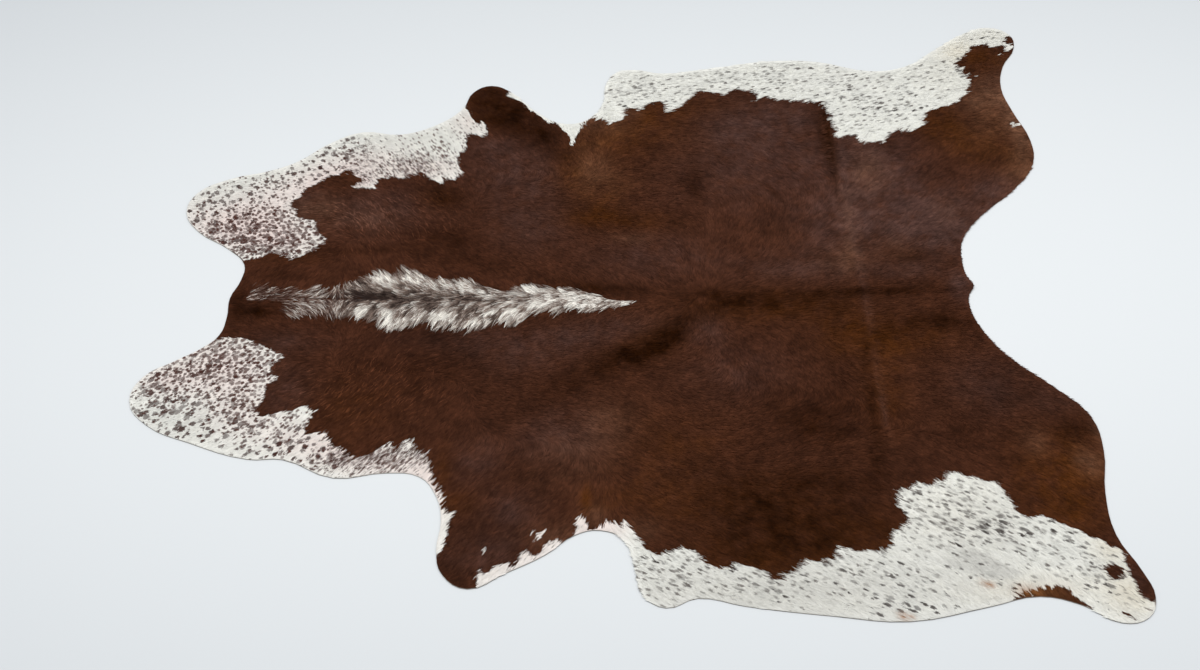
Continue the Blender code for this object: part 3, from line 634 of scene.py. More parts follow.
def sum_of(ovals):
    """How strongly a set of soft ovals is felt at each knot of the net."""
    x, y = net_places
    total = np.zeros(x.shape)
    for along, across, long, wide, degrees, strength in ovals:
        length, width = turned(x - along, y - across, -math.radians(degrees))
        total += strength * np.exp(-((length / long) ** 2 + (width / wide) ** 2))
    return total


tone_nets = {name: sum_of(read_table(text, 6)) for name, text in TONES.items()}
# In the worn patch the hair is greyer, and no dark hairs show.
WORN_GREYER = 0.55
WORN_CLEARER = 0.5
worn = soft_step(inside_by(read_table(WORN_PATCH, 2), *net_places) / WORN_EDGE + 0.5)
tone_nets["greyer"] += WORN_GREYER * worn
tone_nets["streaks"] -= WORN_CLEARER * worn


def tone(name, x, y):
    """How strongly one of the tones is felt at each place."""
    return read_net(tone_nets[name], x, y)


def note_tones(mesh, x, y):
    """Keeps the tones at each point of a mesh, three to an attribute."""
    for name, parts in (
        ("brown_tone", ("darker", "warmer", "mauve")),
        ("white_tone", ("pinker", "creamier", "greyer")),
        ("ticks", ("large ticks", "fine ticks", "ginger")),
    ):
        note(mesh, name, np.column_stack([tone(part, x, y) for part in parts]))
    note(mesh, "lighter", tone("lighter", x, y))


# The hair itself: bovine hair, glossy but fine, so it reads as a soft cloth with a faint sheen.
# One hair is 0.05 mm thick; what the eye sees are locks 2 to 3 mm wide.
BROWN = "#47281a"
# This dark brown is also laid on as painted shade in the folds and creases.
BROWN_DARK_AND_SHADE = "#250f02"
BROWN_WARM = "#542d10"
# This mauve brown is partly the coat's own tone and partly painted sheen.
BROWN_MAUVE_SHEEN = "#553b34"
# This light brown is partly the coat's own lighter hair and partly painted sheen.
BROWN_LIGHT_AND_SHEEN = "#7a543f"
BROWN_SHEEN = "#8a5a44"
WHITE = "#f2f1ea"
WHITE_PINK = "#f2e3dd"
WHITE_CREAM = "#efe5cf"
WHITE_GREY = "#d6d4cd"
GINGER = "#a8703e"
GINGER_STRENGTH = 1.2
# Radii are in shares of the distance from one tick to the next; faintest is the palest tick's
# strength, and fewest and most say how much the clusters change their number.
Ticks = namedtuple("Ticks", "apart least largest soft faintest fewest most colour")
LOBE_TICKS = (
    Ticks(0.0180, 0.15, 0.30, 0.07, 0.55, 0.25, 1.7, "#3f1f16"),
    Ticks(0.0092, 0.16, 0.38, 0.09, 0.55, 0.60, 1.5, "#522b20"),
)
SHOULDER_TICKS = (
    Ticks(0.0088, 0.13, 0.27, 0.08, 0.45, 0.40, 1.5, "#452a22"),
    Ticks(0.0054, 0.16, 0.34, 0.10, 0.40, 0.50, 1.4, "#604036"),
)
FLANK_TICKS = (
    Ticks(0.0130, 0.11, 0.22, 0.08, 0.25, 0.50, 1.45, "#443b37"),
    Ticks(0.0085, 0.12, 0.30, 0.16, 0.20, 0.60, 1.3, "#7d7771"),
)


def read_note(tree, name, part=None):
    """What note kept with the mesh: a number, or one of the three kept under a name."""
    node = add_node(tree, "Attribute", {"attribute_name": name}, {})
    if part is None:
        return node.outputs["Fac"]
    return add_node(tree, "SeparateXYZ", {}, {0: node.outputs["Vector"]}).outputs[part]


def stain(tree, colour, *stains):
    """A colour with others laid over it one by one, each with its own share."""
    for share, tint in stains:
        node = add_node(tree, "Mix", {"data_type": "RGBA"}, {0: share, 6: colour, 7: tint})
        colour = node.outputs[2]
    return colour


def patches(tree, place, scale, detail, roughness, low, high, reach=(0.3, 0.7)):
    """Values that wander from low to high in soft patches, 1 / scale metres apart."""
    pattern = {"Vector": place, "Scale": scale, "Detail": detail, "Roughness": roughness}
    noise = add_node(tree, "TexNoise", {}, pattern)
    return add_node(tree, "MapRange", {}, {0: noise, 1: reach[0], 2: reach[1], 3: low, 4: high})


def brown_colour(tree):
    """The brown coat: a base with darker, warmer and mauve areas, each broken up by mottling; the
    darker areas also hold painted shade along the folds and creases, and the mauve and lighter ones
    painted sheen.
    """
    place = add_node(tree, "TexCoord", {}, {}).outputs["Object"]
    # Mottling about 45 mm across, where the coat lies a little differently.
    mottle = patches(tree, place, 22.0, 4.0, 0.6, 0.40, 1.50)
    colour = linear(BROWN)
    for name, part, tint in (
        # Mauve: partly the coat's own tone, partly painted sheen.
        ("brown_tone", 2, BROWN_MAUVE_SHEEN),
        ("brown_tone", 1, BROWN_WARM),
        # Dark: the coat's own dark areas, and painted shade along the folds and creases.
        ("brown_tone", 0, BROWN_DARK_AND_SHADE),
        # Lighter: partly lighter hair, partly painted sheen.
        ("lighter", None, BROWN_LIGHT_AND_SHEEN),
        ("ticks", 2, GINGER),
    ):
        share = {0: read_note(tree, name, part), 1: mottle}
        share = add_node(tree, "Math", {"operation": "MULTIPLY", "use_clamp": True}, share)
        colour = stain(tree, colour, (share, linear(tint)))
    # Lighter and darker by up to a third, in patches 15 to 70 mm across, as the pile is brushed.
    brushed = patches(tree, place, 14.0, 4.0, 0.8, 0.68, 1.36)
    return add_node(tree, "VectorMath", {"operation": "SCALE"}, {0: colour, "Scale": brushed})


def white_colour(tree, kinds):
    """The white coat: pinkish on the shoulders, creamy on the thigh, with roan ticks in it."""
    colour = linear(WHITE)
    for part, tint in enumerate((WHITE_PINK, WHITE_CREAM, WHITE_GREY)):
        colour = stain(tree, colour, (read_note(tree, "white_tone", part), linear(tint)))
    place = add_node(tree, "Attribute", {"attribute_name": "pattern_place"}, {}).outputs["Vector"]
    # Lighter and darker by up to a fourteenth, in patches about 20 mm across.
    brushed = patches(tree, place, 50.0, 3.0, 0.5, 0.92, 1.06)
    colour = add_node(tree, "VectorMath", {"operation": "SCALE"}, {0: colour, "Scale": brushed})
    ragged = patches(tree, place, 260.0, 2.0, 0.5, -0.13, 0.13)  # outlines uneven over 4 mm
    for part, kind in enumerate(kinds):
        cells = add_node(
            tree,
            "TexVoronoi",
            {"voronoi_dimensions": "2D"},
            {"Vector": place, "Scale": 1.0 / kind.apart, "Randomness": 1.0},
        )
        chance = add_node(tree, "SeparateXYZ", {}, {0: cells.outputs["Color"]}).outputs
        # The ticks gather in clusters about 30 mm across.
        cluster = patches(tree, place, 32.0, 2.0, 0.5, kind.fewest, kind.most, (0.36, 0.62))
        amount = {0: read_note(tree, "ticks", part), 1: cluster}
        amount = add_node(tree, "Math", {"operation": "MULTIPLY"}, amount)
        here = add_node(tree, "Math", {"operation": "LESS_THAN"}, {0: chance[0], 1: amount})
        size = add_node(tree, "MapRange", {}, {0: chance[1], 3: kind.least, 4: kind.largest})
        fuller = add_node(tree, "MapRange", {}, {0: amount, 1: 0.5, 2: 1.8, 3: 0.0, 4: 0.16})
        size = add_node(tree, "Math", {"operation": "ADD"}, {0: size, 1: fuller})
        outer = add_node(tree, "Math", {"operation": "ADD"}, {0: size, 1: kind.soft})
        away = {0: cells.outputs["Distance"], 1: ragged}
        away = add_node(tree, "Math", {"operation": "ADD"}, away)
        tick = add_node(tree, "MapRange", {}, {0: away, 1: size, 2: outer, 3: 1.0, 4: 0.0})
        strength = add_node(tree, "MapRange", {}, {0: chance[2], 3: kind.faintest, 4: 1.0})
        for factor in (strength, here):
            tick = add_node(tree, "Math", {"operation": "MULTIPLY"}, {0: tick, 1: factor})
        colour = stain(tree, colour, (tick, linear(kind.colour)))
    ginger = {0: read_note(tree, "ticks", 2), 1: GINGER_STRENGTH}
    ginger = add_node(tree, "Math", {"operation": "MULTIPLY", "use_clamp": True}, ginger)
    # Single dark hairs lie among the white ones.
    dark_hairs = (read_note(tree, "streak"), linear(kinds[0].colour))
    return stain(tree, colour, dark_hairs, (ginger, linear(GINGER)))


def shade_locks(tree, colour, darkest, lightest, at_root):
    """Each lock a little lighter or darker than its neighbours, with painted shade dimming it
    towards its root.
    """
    light = {0: read_note(tree, "lock"), 3: darkest, 4: lightest}
    light = add_node(tree, "MapRange", {"clamp": False}, light)
    # Painted shade: the colour dims towards the root, under the locks that lie over it.
    depth = add_node(tree, "MapRange", {}, {0: read_note(tree, "tip"), 3: at_root, 4: 1.04})
    light = add_node(tree, "Math", {"operation": "MULTIPLY"}, {0: light, 1: depth})
    return add_node(tree, "VectorMath", {"operation": "SCALE"}, {0: colour, "Scale": light})


def new_material(name, roughness):
    """A material's tree to draw its colour in, and its shader."""
    material = bpy.data.materials.new(name)
    material.use_nodes = True
    shader = material.node_tree.nodes["Principled BSDF"]
    shader.inputs["Roughness"].default_value = roughness
    return material, material.node_tree, shader


def finish_hair(tree, shader, colour, gloss, sheen, sheen_colour):
    """Hair scatters light along its edge: a little gloss, and a faint sheen."""
    tree.links.new(colour.outputs[0], shader.inputs["Base Color"])
    shader.inputs["Specular IOR Level"].default_value = gloss
    shader.inputs["Sheen Weight"].default_value = sheen
    shader.inputs["Sheen Roughness"].default_value = 0.45
    shader.inputs["Sheen Tint"].default_value = linear(sheen_colour)


# The hair side of the skin, seen between the locks: skin dark under brown hair, pale under white,
# drawn in the coats' colours dimmed as painted shade among the roots.
hair_side, tree, shader = new_material("hair_side_of_the_skin", 0.75)
colour = stain(
    tree,
    brown_colour(tree),
    (read_note(tree, "white_here"), white_colour(tree, FLANK_TICKS)),
)
# Dimmed by a fifth: painted shade down among the roots of the locks.
colour = add_node(tree, "VectorMath", {"operation": "SCALE"}, {0: colour, "Scale": 0.8})
finish_hair(tree, shader, colour, 0.02, 0.03, BROWN_SHEEN)

# The flesh side: a buffed split like suede, matt, greyish tan, with soft blotches of the tannage
# about 80 mm across and a nap of 1.5 mm.
suede, tree, shader = new_material("buffed_flesh_side_suede", 0.92)
place = add_node(tree, "TexCoord", {}, {}).outputs["Object"]
blotch = patches(tree, place, 12.0, 5.0, 0.5, 0.0, 1.0, (0.35, 0.7))
colour = stain(tree, linear("#b0a28d"), (blotch, linear("#c3b6a1")))
tree.links.new(colour, shader.inputs["Base Color"])
nap = add_node(tree, "TexNoise", {}, {"Vector": place, "Scale": 650.0, "Detail": 2.0})
nap = add_node(tree, "Bump", {}, {"Height": nap, "Distance": 0.0004, "Strength": 0.5})
tree.links.new(nap.outputs[0], shader.inputs["Normal"])
shader.inputs["Specular IOR Level"].default_value = 0.15

# The knife-cut edge: the grey-brown core of chrome-tanned leather, matt, in fibres 3 mm apart.
cut_edge, tree, shader = new_material("knife_cut_leather_edge", 0.8)
place = add_node(tree, "TexCoord", {}, {}).outputs["Object"]
fibre = add_node(tree, "TexNoise", {}, {"Vector": place, "Scale": 300.0, "Detail": 3.0})
colour = stain(tree, linear("#6f665d"), (fibre, linear("#a09688")))
tree.links.new(colour, shader.inputs["Base Color"])
fibre = add_node(tree, "Bump", {}, {"Height": fibre, "Distance": 0.0003, "Strength": 0.6})
tree.links.new(fibre.outputs[0], shader.inputs["Normal"])

hide_skin = new_object("hide_skin", skin_mesh)
for material in (hair_side, suede, cut_edge):
    skin_mesh.materials.append(material)
normals = np.empty(len(skin_mesh.polygons) * 3)
skin_mesh.polygons.foreach_get("normal", normals)
facing = normals.reshape(-1, 3)[:, 2]
skin_mesh.polygons.foreach_set(
    "material_index", np.select([facing > 0.5, facing < -0.5], [0, 1], 2).astype(np.int32)
)
skin_mesh.shade_smooth()
skin_mesh.set_sharp_from_angle(angle=math.radians(50.0))
note_tones(skin_mesh, skin_points[:, 0], skin_points[:, 1])
note(skin_mesh, "pattern_place", skin_points)
note(skin_mesh, "streak", np.zeros(len(skin_points)))
note(skin_mesh, "white_here", (in_white(skin_points[:, 0], skin_points[:, 1]) > 0.0) * 1.0)

# On the map the hair side fills the left half and the flesh side, with the edge, the right half.
MAP_APART = 2.4  # metres from one half to the other
EDGE_ON_MAP = 0.002  # how wide the cut edge is drawn
corner_points = np.empty(len(skin_mesh.loops), np.int32)
skin_mesh.loops.foreach_get("vertex_index", corner_points)
corners_a_face = np.empty(len(skin_mesh.polygons), np.int32)
skin_mesh.polygons.foreach_get("loop_total", corners_a_face)
places = skin_points[corner_points][:, :2].copy()
places[:, 0] += np.repeat(np.where(facing > 0.5, 0.0, MAP_APART), corners_a_face)
edge_corners = np.repeat(np.abs(facing) <= 0.5, corners_a_face)
places[edge_corners] += EDGE_ON_MAP * skin_points[corner_points][edge_corners, 2:3] / SKIN
map_from_above(skin_mesh, places)

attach(hide_skin, "root")
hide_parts("hide")

# ------------------------------------------------------------------------------------------------
# The coat. Short hair grows all over, lying flat in the swirls of the living animal, brown and
# white. It is drawn as locks: flat pointed blades of hair that overlap like thatch, each a few
# millimetres wide, with the tips of a clump drawn together.
# ------------------------------------------------------------------------------------------------
LOCK_WIDTH = 0.0030
COAT_LIFT = 0.0030  # how far the tips of a full coat stand over the skin
EDGE_FADE = 0.014  # how far in from the cut edge the coat reaches its full thickness
TIP_OVERHANG = 0.0015  # how far a tip may pass the cut edge
CLUMP = 0.0075  # from one clump of locks to the next
TIPS_DRAWN = 0.55  # how far the tips of a clump are drawn together
ROOT_INSIDE = 0.0010  # no root is nearer the cut edge
WIDTHS = (0.75, 1.15)  # shares of the usual width
ROLL = 0.35  # how far a lock leans to one side, as a share of its half width
LIFTS = (0.55, 1.0)  # shares of the lift
EDGE_LIFT = 0.27  # the share of the lift that is left at the cut edge
# Where the hair points and how long it is: along, across, direction in degrees, length.
LIE = read_table(
    """
    -1.05 .35 -5 .009   -.9 .3 -10 .009   -.8 .25 -15 .011   -.85 .45 -15 .01   -.7 .54 -30 .013
    -.55 .52 -50 .018   -.42 .52 -62 .021   -.34 .68 -60 .014   -.1 .6 -70 .015   -.22 .55 -45 .015
    -.62 .38 -50 .014   -.45 .33 -50 .014   -.6 .27 -62 .014   -.28 .72 -45 .012   -1.08 -.27 5 .009
    -.95 -.2 12 .009   -.85 -.2 15 .01   -.9 -.38 15 .01   -.75 -.4 30 .012   -.62 -.5 36 .016
    -.48 -.49 45 .018   -.3 -.75 38 .014   -.15 -.72 45 .014   -.25 -.58 38 .015   -.6 -.3 50 .014
    -.45 -.35 45 .014   -.9 .1 35 .014   -.9 -.04 -25 .014   -.78 .12 25 .015   -.76 -.1 -25 .015
    -.6 .17 120 .015   -.4 .17 150 .015   -.6 -.15 -120 .015   -.4 -.16 -150 .015   -.2 .16 160 .015
    -.2 -.16 -158 .015   0 .15 168 .015   0 -.15 -165 .015   -.22 .35 178 .015   -.22 -.35 -178 .015
    .1 .35 195 .015   .1 -.35 165 .015   .14 .04 170 .014   .14 -.04 -170 .014   .22 .06 90 .012
    .22 -.06 -90 .012   .32 .03 12 .014   .32 -.03 -12 .014   .6 .04 6 .015   .6 -.04 -6 .015
    .82 .04 4 .015   .82 -.04 -4 .015   .4 .22 70 .015   .4 -.22 -70 .015   .7 .22 30 .015
    .7 -.22 -30 .015   .4 .45 150 .016   .4 -.45 -150 .016   .2 .6 190 .018   .2 -.6 170 .018
    .95 .4 35 .015   .95 -.4 -35 .015   .05 .75 185 .02   .3 .8 192 .023   .55 .78 205 .025
    .72 .62 215 .026   .85 .7 215 .022   1.02 .92 205 .014   1.05 .6 205 .015   1.02 .78 205 .016
    .05 -.8 155 .02   .3 -.87 155 .023   .5 -.86 152 .024   .7 -.7 150 .025   .85 -.78 150 .02
    1 -.83 148 .02   1.07 -.93 150 .013   1.05 -.62 150 .015   .8 -.9 150 .018   .9 -.925 115 .013
    .97 -.55 160 .015
    """,
    4,
)
# Along the back: how far off its middle the hair parts.
PARTING = (
    (-0.95, 0.030), (-0.80, 0.022), (-0.64, 0.020), (-0.45, 0.010), (0.06, -0.012), (0.90, -0.006),
)
WHORL = -0.68  # the long hair on either side of this place leans towards it
CROWN = 0.22  # behind it, the hair of the back lies towards the tail
BAND_REACH = 0.09  # how far off the parting the back's own lie is felt


def along_back(x, steps):
    """A value given at some places along the back, and even between them."""
    return np.interp(x, *np.array(steps).T)


def off_parting(x, y):
    """Metres off the parting along the back, more than 0 on the far side."""
    return y - along_back(x, PARTING)


def band_lie(x, y, stray=0.0):
    """The lie of the back's long hair, which leaves the parting slowly: its two directions."""
    off = off_parting(x, y) + stray
    outward = np.radians(14.0 + 42.0 * soft_step(np.abs(off) / 0.065))
    forward = np.tanh((x - WHORL) / 0.03) * np.tanh((CROWN - x) / 0.02)
    right = -np.cos(outward) * forward
    up = np.sign(off) * np.sqrt(np.maximum(1.0 - right**2, 0.0))
    return right, up


def lie_of_hair(x, y):
    """The direction in which the hair points, as two shares, and its length."""
    right, up, length, weight = (np.zeros(x.shape) for _ in range(4))
    for along, across, turn, long in LIE:
        near = 1.0 / ((x - along) ** 2 + (y - across) ** 2 + 0.0004) ** 1.5
        right += near * math.cos(math.radians(turn))
        up += near * math.sin(math.radians(turn))
        length += near * long
        weight += near
    right, up, length = right / weight, up / weight, length / weight
    band_right, band_up = band_lie(x, y)
    in_band = soft_step(1.4 - np.abs(off_parting(x, y)) / BAND_REACH)
    in_band = in_band * soft_step((0.20 - x) / 0.1) * soft_step((x + 0.95) / 0.05)
    right = right * (1.0 - in_band) + band_right * in_band
    up = up * (1.0 - in_band) + band_up * in_band
    size = np.hypot(right, up) + 1e-9
    return right / size, up / size, length


def sow(spacing, seed):
    """A root for every square of an even net over the hide, each at a chance place in its own."""
    rng = np.random.default_rng(seed)
    x, y = np.meshgrid(
        np.arange(cad_low.x, cad_high.x, spacing), np.arange(cad_low.y, cad_high.y, spacing)
    )
    x = (x + rng.uniform(0.0, spacing, x.shape)).ravel()
    y = (y + rng.uniform(0.0, spacing, y.shape)).ravel()
    kept = from_edge(x, y) > ROOT_INSIDE
    order = rng.permutation(int(kept.sum()))
    return x[kept][order], y[kept][order]


def clump_of(x, y, size, seed):
    """The middle of the clump that each root belongs to, and a number for the clump."""
    bent_x = x + 0.6 * size * uneven(x, y, 2.3 * size, seed)
    bent_y = y + 0.6 * size * uneven(x, y, 2.3 * size, seed + 1)
    column, row = np.floor(bent_x / size), np.floor(bent_y / size)
    mix_up = (column * 73.0 + row * 179.0 + seed).astype(int) & 4095
    table = np.random.default_rng(seed).uniform(-0.3, 0.3, (4096, 2))
    middle_x = (column + 0.5 + table[mix_up, 0]) * size - (bent_x - x)
    middle_y = (row + 0.5 + table[mix_up, 1]) * size - (bent_y - y)
    return middle_x, middle_y, mix_up


# Chance differences, first from clump to clump and then from lock to lock.
TURNS = (0.16, 0.10)  # radians off the lie of the hair
LENGTHS = ((0.75, 1.30), (0.75, 1.20))  # shares of the usual length
STRAYS = (0.0030, 0.0022)  # how far locks stray over the edge of a marking
STRAY_FROM = 0.011  # shorter locks don't stray
WORN_SHORTER = 0.35


def comb(x, y, seed):
    """The locks rooted at these places: root, direction, length, middle of the clump, shade."""
    rng = np.random.default_rng(seed)
    of_clump = np.random.default_rng(6)
    middle_x, middle_y, clump = clump_of(x, y, CLUMP, 5)
    right, up, length = lie_of_hair(x, y)
    turn = of_clump.normal(0.0, TURNS[0], 4096)[clump] + rng.normal(0.0, TURNS[1], x.shape)
    right, up = turned(right, up, turn)
    length = length * of_clump.uniform(*LENGTHS[0], 4096)[clump] * rng.uniform(*LENGTHS[1], x.shape)
    shade = 0.6 * of_clump.uniform(0.0, 1.0, 4096)[clump] + 0.4 * rng.uniform(0.0, 1.0, x.shape)
    stray = STRAYS[0] * of_clump.normal(0.0, 1.0, 4096)[clump]
    stray = stray + STRAYS[1] * rng.normal(size=x.shape)
    stray = stray * soft_step((length - STRAY_FROM) / 0.008)
    dark = 0.3 * of_clump.uniform(0.0, 1.0, 4096)[clump] + 0.7 * rng.uniform(0.0, 1.0, x.shape)
    length = length * (1.0 - WORN_SHORTER * (inside_any({"worn": WORN_PATCH}, x, y) > 0.0))
    share = np.clip(tone("streaks", x, y), 0.0, 0.9)  # the share of dark locks wanted here
    stray = stray * (1.0 + 3.0 * share)
    # A clump's 0.3 and a lock's 0.7 of chance add up unevenly, so the share is looked up.
    below = np.interp(share, (0.0, 0.214, 0.786, 1.0), (0.0, 0.3, 0.7, 1.0))
    streak = (dark < below) * rng.uniform(0.6, 1.0, x.shape)
    return np.array([x, y, right, up, length, middle_x, middle_y, shade, stray, streak])


def is_white(locks):
    """Whether locks are white: the place where they are seen lies in a white marking."""
    x, y, right, up, length, middle_x, middle_y, _shade, stray, _streak = locks
    reach = 0.55 * length + stray
    seen_x = 0.4 * x + 0.6 * middle_x + reach * right
    seen_y = 0.4 * y + 0.6 * middle_y + reach * up
    return in_white(seen_x, seen_y) > 0.0


# Piece by piece along the white coat: where it begins, its ticks, how far their pattern follows
# the roots of the locks, and how much it is drawn out. Where the hair is short the ticks are round,
# and where it is long they are drawn out along it.
WhitePiece = namedtuple("WhitePiece", "place start ticks share stretch")
WHITE_PIECES = (
    WhitePiece("shoulder_ends", -math.inf, LOBE_TICKS, 0.35, 1.25),
    WhitePiece("shoulders", -0.64, SHOULDER_TICKS, 0.2, 3.2),
    WhitePiece("flanks", -0.33, FLANK_TICKS, 0.30, 2.4),
)


def lie_of_ticks(x, y):
    """The direction in which the ticks are drawn out, in degrees."""
    fore, near = x < WHITE_PIECES[2].start, y < 0.0
    return np.select([fore & near, fore, near], [45.0, 122.0, 150.0], 198.0)


def lay_locks(name, locks, seed, pattern_share, stretch):
    """Makes a piece of flat pointed locks, one triangle each, combed down on the skin."""
    rng = np.random.default_rng(seed)
    x, y, right, up, length, middle_x, middle_y, shade, _stray, streak = locks
    # A lock that would pass the cut edge is clipped short there, as the knife does.
    room = from_edge(x + length * right, y + length * up) + TIP_OVERHANG
    length = length * np.clip(1.0 + np.minimum(room, 0.0) / length, 0.25, 1.0)
    tip_x, tip_y = x + length * right, y + length * up
    drawn = TIPS_DRAWN * ((middle_x - x) * -up + (middle_y - y) * right)
    tip_x, tip_y = tip_x - up * drawn, tip_y + right * drawn
    half = 0.5 * LOCK_WIDTH * rng.uniform(*WIDTHS, x.shape)
    half = half * (1.0 - 0.5 * np.clip(tone("streaks", x, y), 0.0, 0.7))
    roll = half * rng.uniform(-ROLL, ROLL, x.shape)
    fade = EDGE_LIFT + (1.0 - EDGE_LIFT) * soft_step(from_edge(tip_x, tip_y) / EDGE_FADE)
    lift = COAT_LIFT * np.clip(length / 0.014, 0.4, 1.15) * rng.uniform(*LIFTS, x.shape) * fade
    root_z = skin_height(x, y) + SKIN + 0.0002
    points = np.empty((len(x), 3, 3))
    points[:, 0] = np.column_stack([x + up * half, y - right * half, root_z + np.maximum(roll, 0)])
    points[:, 1] = np.column_stack([x - up * half, y + right * half, root_z - np.minimum(roll, 0)])
    points[:, 2] = np.column_stack([tip_x, tip_y, skin_height(tip_x, tip_y) + SKIN + lift])
    places = points[:, :, :2].reshape(-1, 2)
    flat_points = points.reshape(-1, 3)

    mesh = bpy.data.meshes.new(name)
    mesh.from_pydata(flat_points, [], np.arange(len(flat_points)).reshape(-1, 3))
    note_tones(mesh, places[:, 0], places[:, 1])
    roots = np.repeat(np.column_stack([x, y]), 3, axis=0)
    pattern_x, pattern_y = (places + pattern_share * (roots - places)).T
    turn = np.radians(np.repeat(lie_of_ticks(x, y), 3))
    along, across = turned(pattern_x, pattern_y, -turn)
    pattern = np.column_stack([along / stretch, across, np.zeros(len(along))])
    note(mesh, "pattern_place", pattern)
    note(mesh, "lock", np.repeat(shade, 3))
    note(mesh, "streak", np.repeat(streak, 3))
    note(mesh, "tip", np.tile([0.0, 0.0, 1.0], len(x)))
    map_from_above(mesh, places)
    return new_object(name, mesh)


# Brown hair: deep reddish brown, with a faint warm sheen where it is combed flat.
brown_hair, tree, shader = new_material("brown_cow_hair", 0.6)
finish_hair(
    tree, shader, shade_locks(tree, brown_colour(tree), 0.62, 1.40, 0.72), 0.02, 0.04, BROWN_SHEEN
)

PALE_SHADE = 2.2  # how much lighter the few long pale hairs of the shoulders are
PALE_LENGTH = 1.7
PALE_SHARE = 0.07
BROWN_SPACING, WHITE_SPACING = 0.00255, 0.00225  # from one lock to the next
FORE_END = 0.155  # where the brown coat's two pieces meet
PIECES_BLEND = 0.02  # how far the locks of two white pieces mingle

coat_pieces = []
locks = comb(*sow(BROWN_SPACING, 21), 22)
locks = locks[:, ~is_white(locks)]
pale = np.random.default_rng(23).uniform(0.0, 1.0, locks.shape[1])
pale = pale < PALE_SHARE * tone("pale hairs", locks[0], locks[1])
locks[7, pale] = PALE_SHADE
locks[4, pale] *= PALE_LENGTH
fore = locks[0] < FORE_END
for name, part in (("brown_coat_of_the_fore", fore), ("brown_coat_of_the_rear", ~fore)):
    piece = lay_locks(name, locks[:, part], 24, 1.0, 1.0)
    piece.data.materials.append(brown_hair)
    coat_pieces.append(piece)

# White hair: warm white, with a soft sheen. At the ends of the shoulders it has round mauve-brown
# ticks, nearer the back the same drawn out along the hair, and on the belly and legs thin grey
# ones.
locks = comb(*sow(WHITE_SPACING, 31), 32)
locks = locks[:, is_white(locks)]
place = locks[0] + PIECES_BLEND * np.random.default_rng(34).normal(size=locks.shape[1])
ends = [piece.start for piece in WHITE_PIECES[1:]] + [math.inf]
for kind, end in zip(WHITE_PIECES, ends):
    white_hair, tree, shader = new_material("white_hair_of_the_" + kind.place, 0.62)
    colour = shade_locks(tree, white_colour(tree, kind.ticks), 0.92, 1.03, 0.86)
    finish_hair(tree, shader, colour, 0.2, 0.10, "#ffffff")
    part = (place >= kind.start) & (place < end)
    name = "white_coat_of_the_" + kind.place
    piece = lay_locks(name, locks[:, part], 33, kind.share, kind.stretch)
    piece.data.materials.append(white_hair)
    coat_pieces.append(piece)

# ------------------------------------------------------------------------------------------------
# The long hair of the back. White and near-black hairs 20 to 60 mm long stand up on either side
# of a parting from the neck to mid back, and fall outwards in wavy pointed tufts.
# ------------------------------------------------------------------------------------------------
TUFT = 0.012  # from one tuft to the next
HAIR_WIDTH = 0.0015
HAIR_STEPS = 5
HAIRS_TRIED = 78000  # roots tried in a box round the band; those outside it aren't grown
BAND_BOX = ((-0.93, 0.06), (-0.12, 0.15))
SHORTEST, LONGER = 0.026, 0.022  # the hair is longer in the band's middle
LEAST_HEIGHT = 0.0012
ROOT_OUTSIDE = 0.004  # how far a root may lie outside the band
TIP_UNEVEN = 0.003  # how unevenly the tips end at its edge
TAPER = 0.85  # the share of its width that a hair loses
TUFT_DRAWN = 0.9  # how far the tips of a tuft are drawn together
WHITER, DARKER = 0.62, 0.55  # pigment taken off or put on where the tones say so
TUFT_MIX = 0.60  # how much the pigment differs from tuft to tuft
# Along the back: how high the hair rises, how full it is, how far it strays over the parting, its
# pigment and how much that differs from hair to hair, and how rusty it is.
BAND_RISE = (
    (-0.95, 0.0020), (-0.84, 0.0035), (-0.64, 0.0055), (-0.45, 0.0070), (-0.20, 0.0050),
    (0.06, 0.0025),
)
BAND_FULLNESS = ((-0.93, 0.27), (-0.72, 0.39), (-0.65, 0.90), (-0.55, 1.00))
BAND_STRAY = ((-0.93, 0.003), (-0.62, 0.002), (-0.55, 0.003), (-0.48, 0.006), (0.05, 0.004))
BAND_PIGMENT = (
    (-0.90, 0.62), (-0.70, 0.61), (-0.60, 0.57), (-0.30, 0.55), (-0.20, 0.43), (0.00, 0.36),
    (0.05, 0.25),
)
BAND_MIX = ((-0.75, 0.28), (-0.60, 0.16))
BAND_RUST = ((-0.76, 0.30), (-0.62, 0.0))


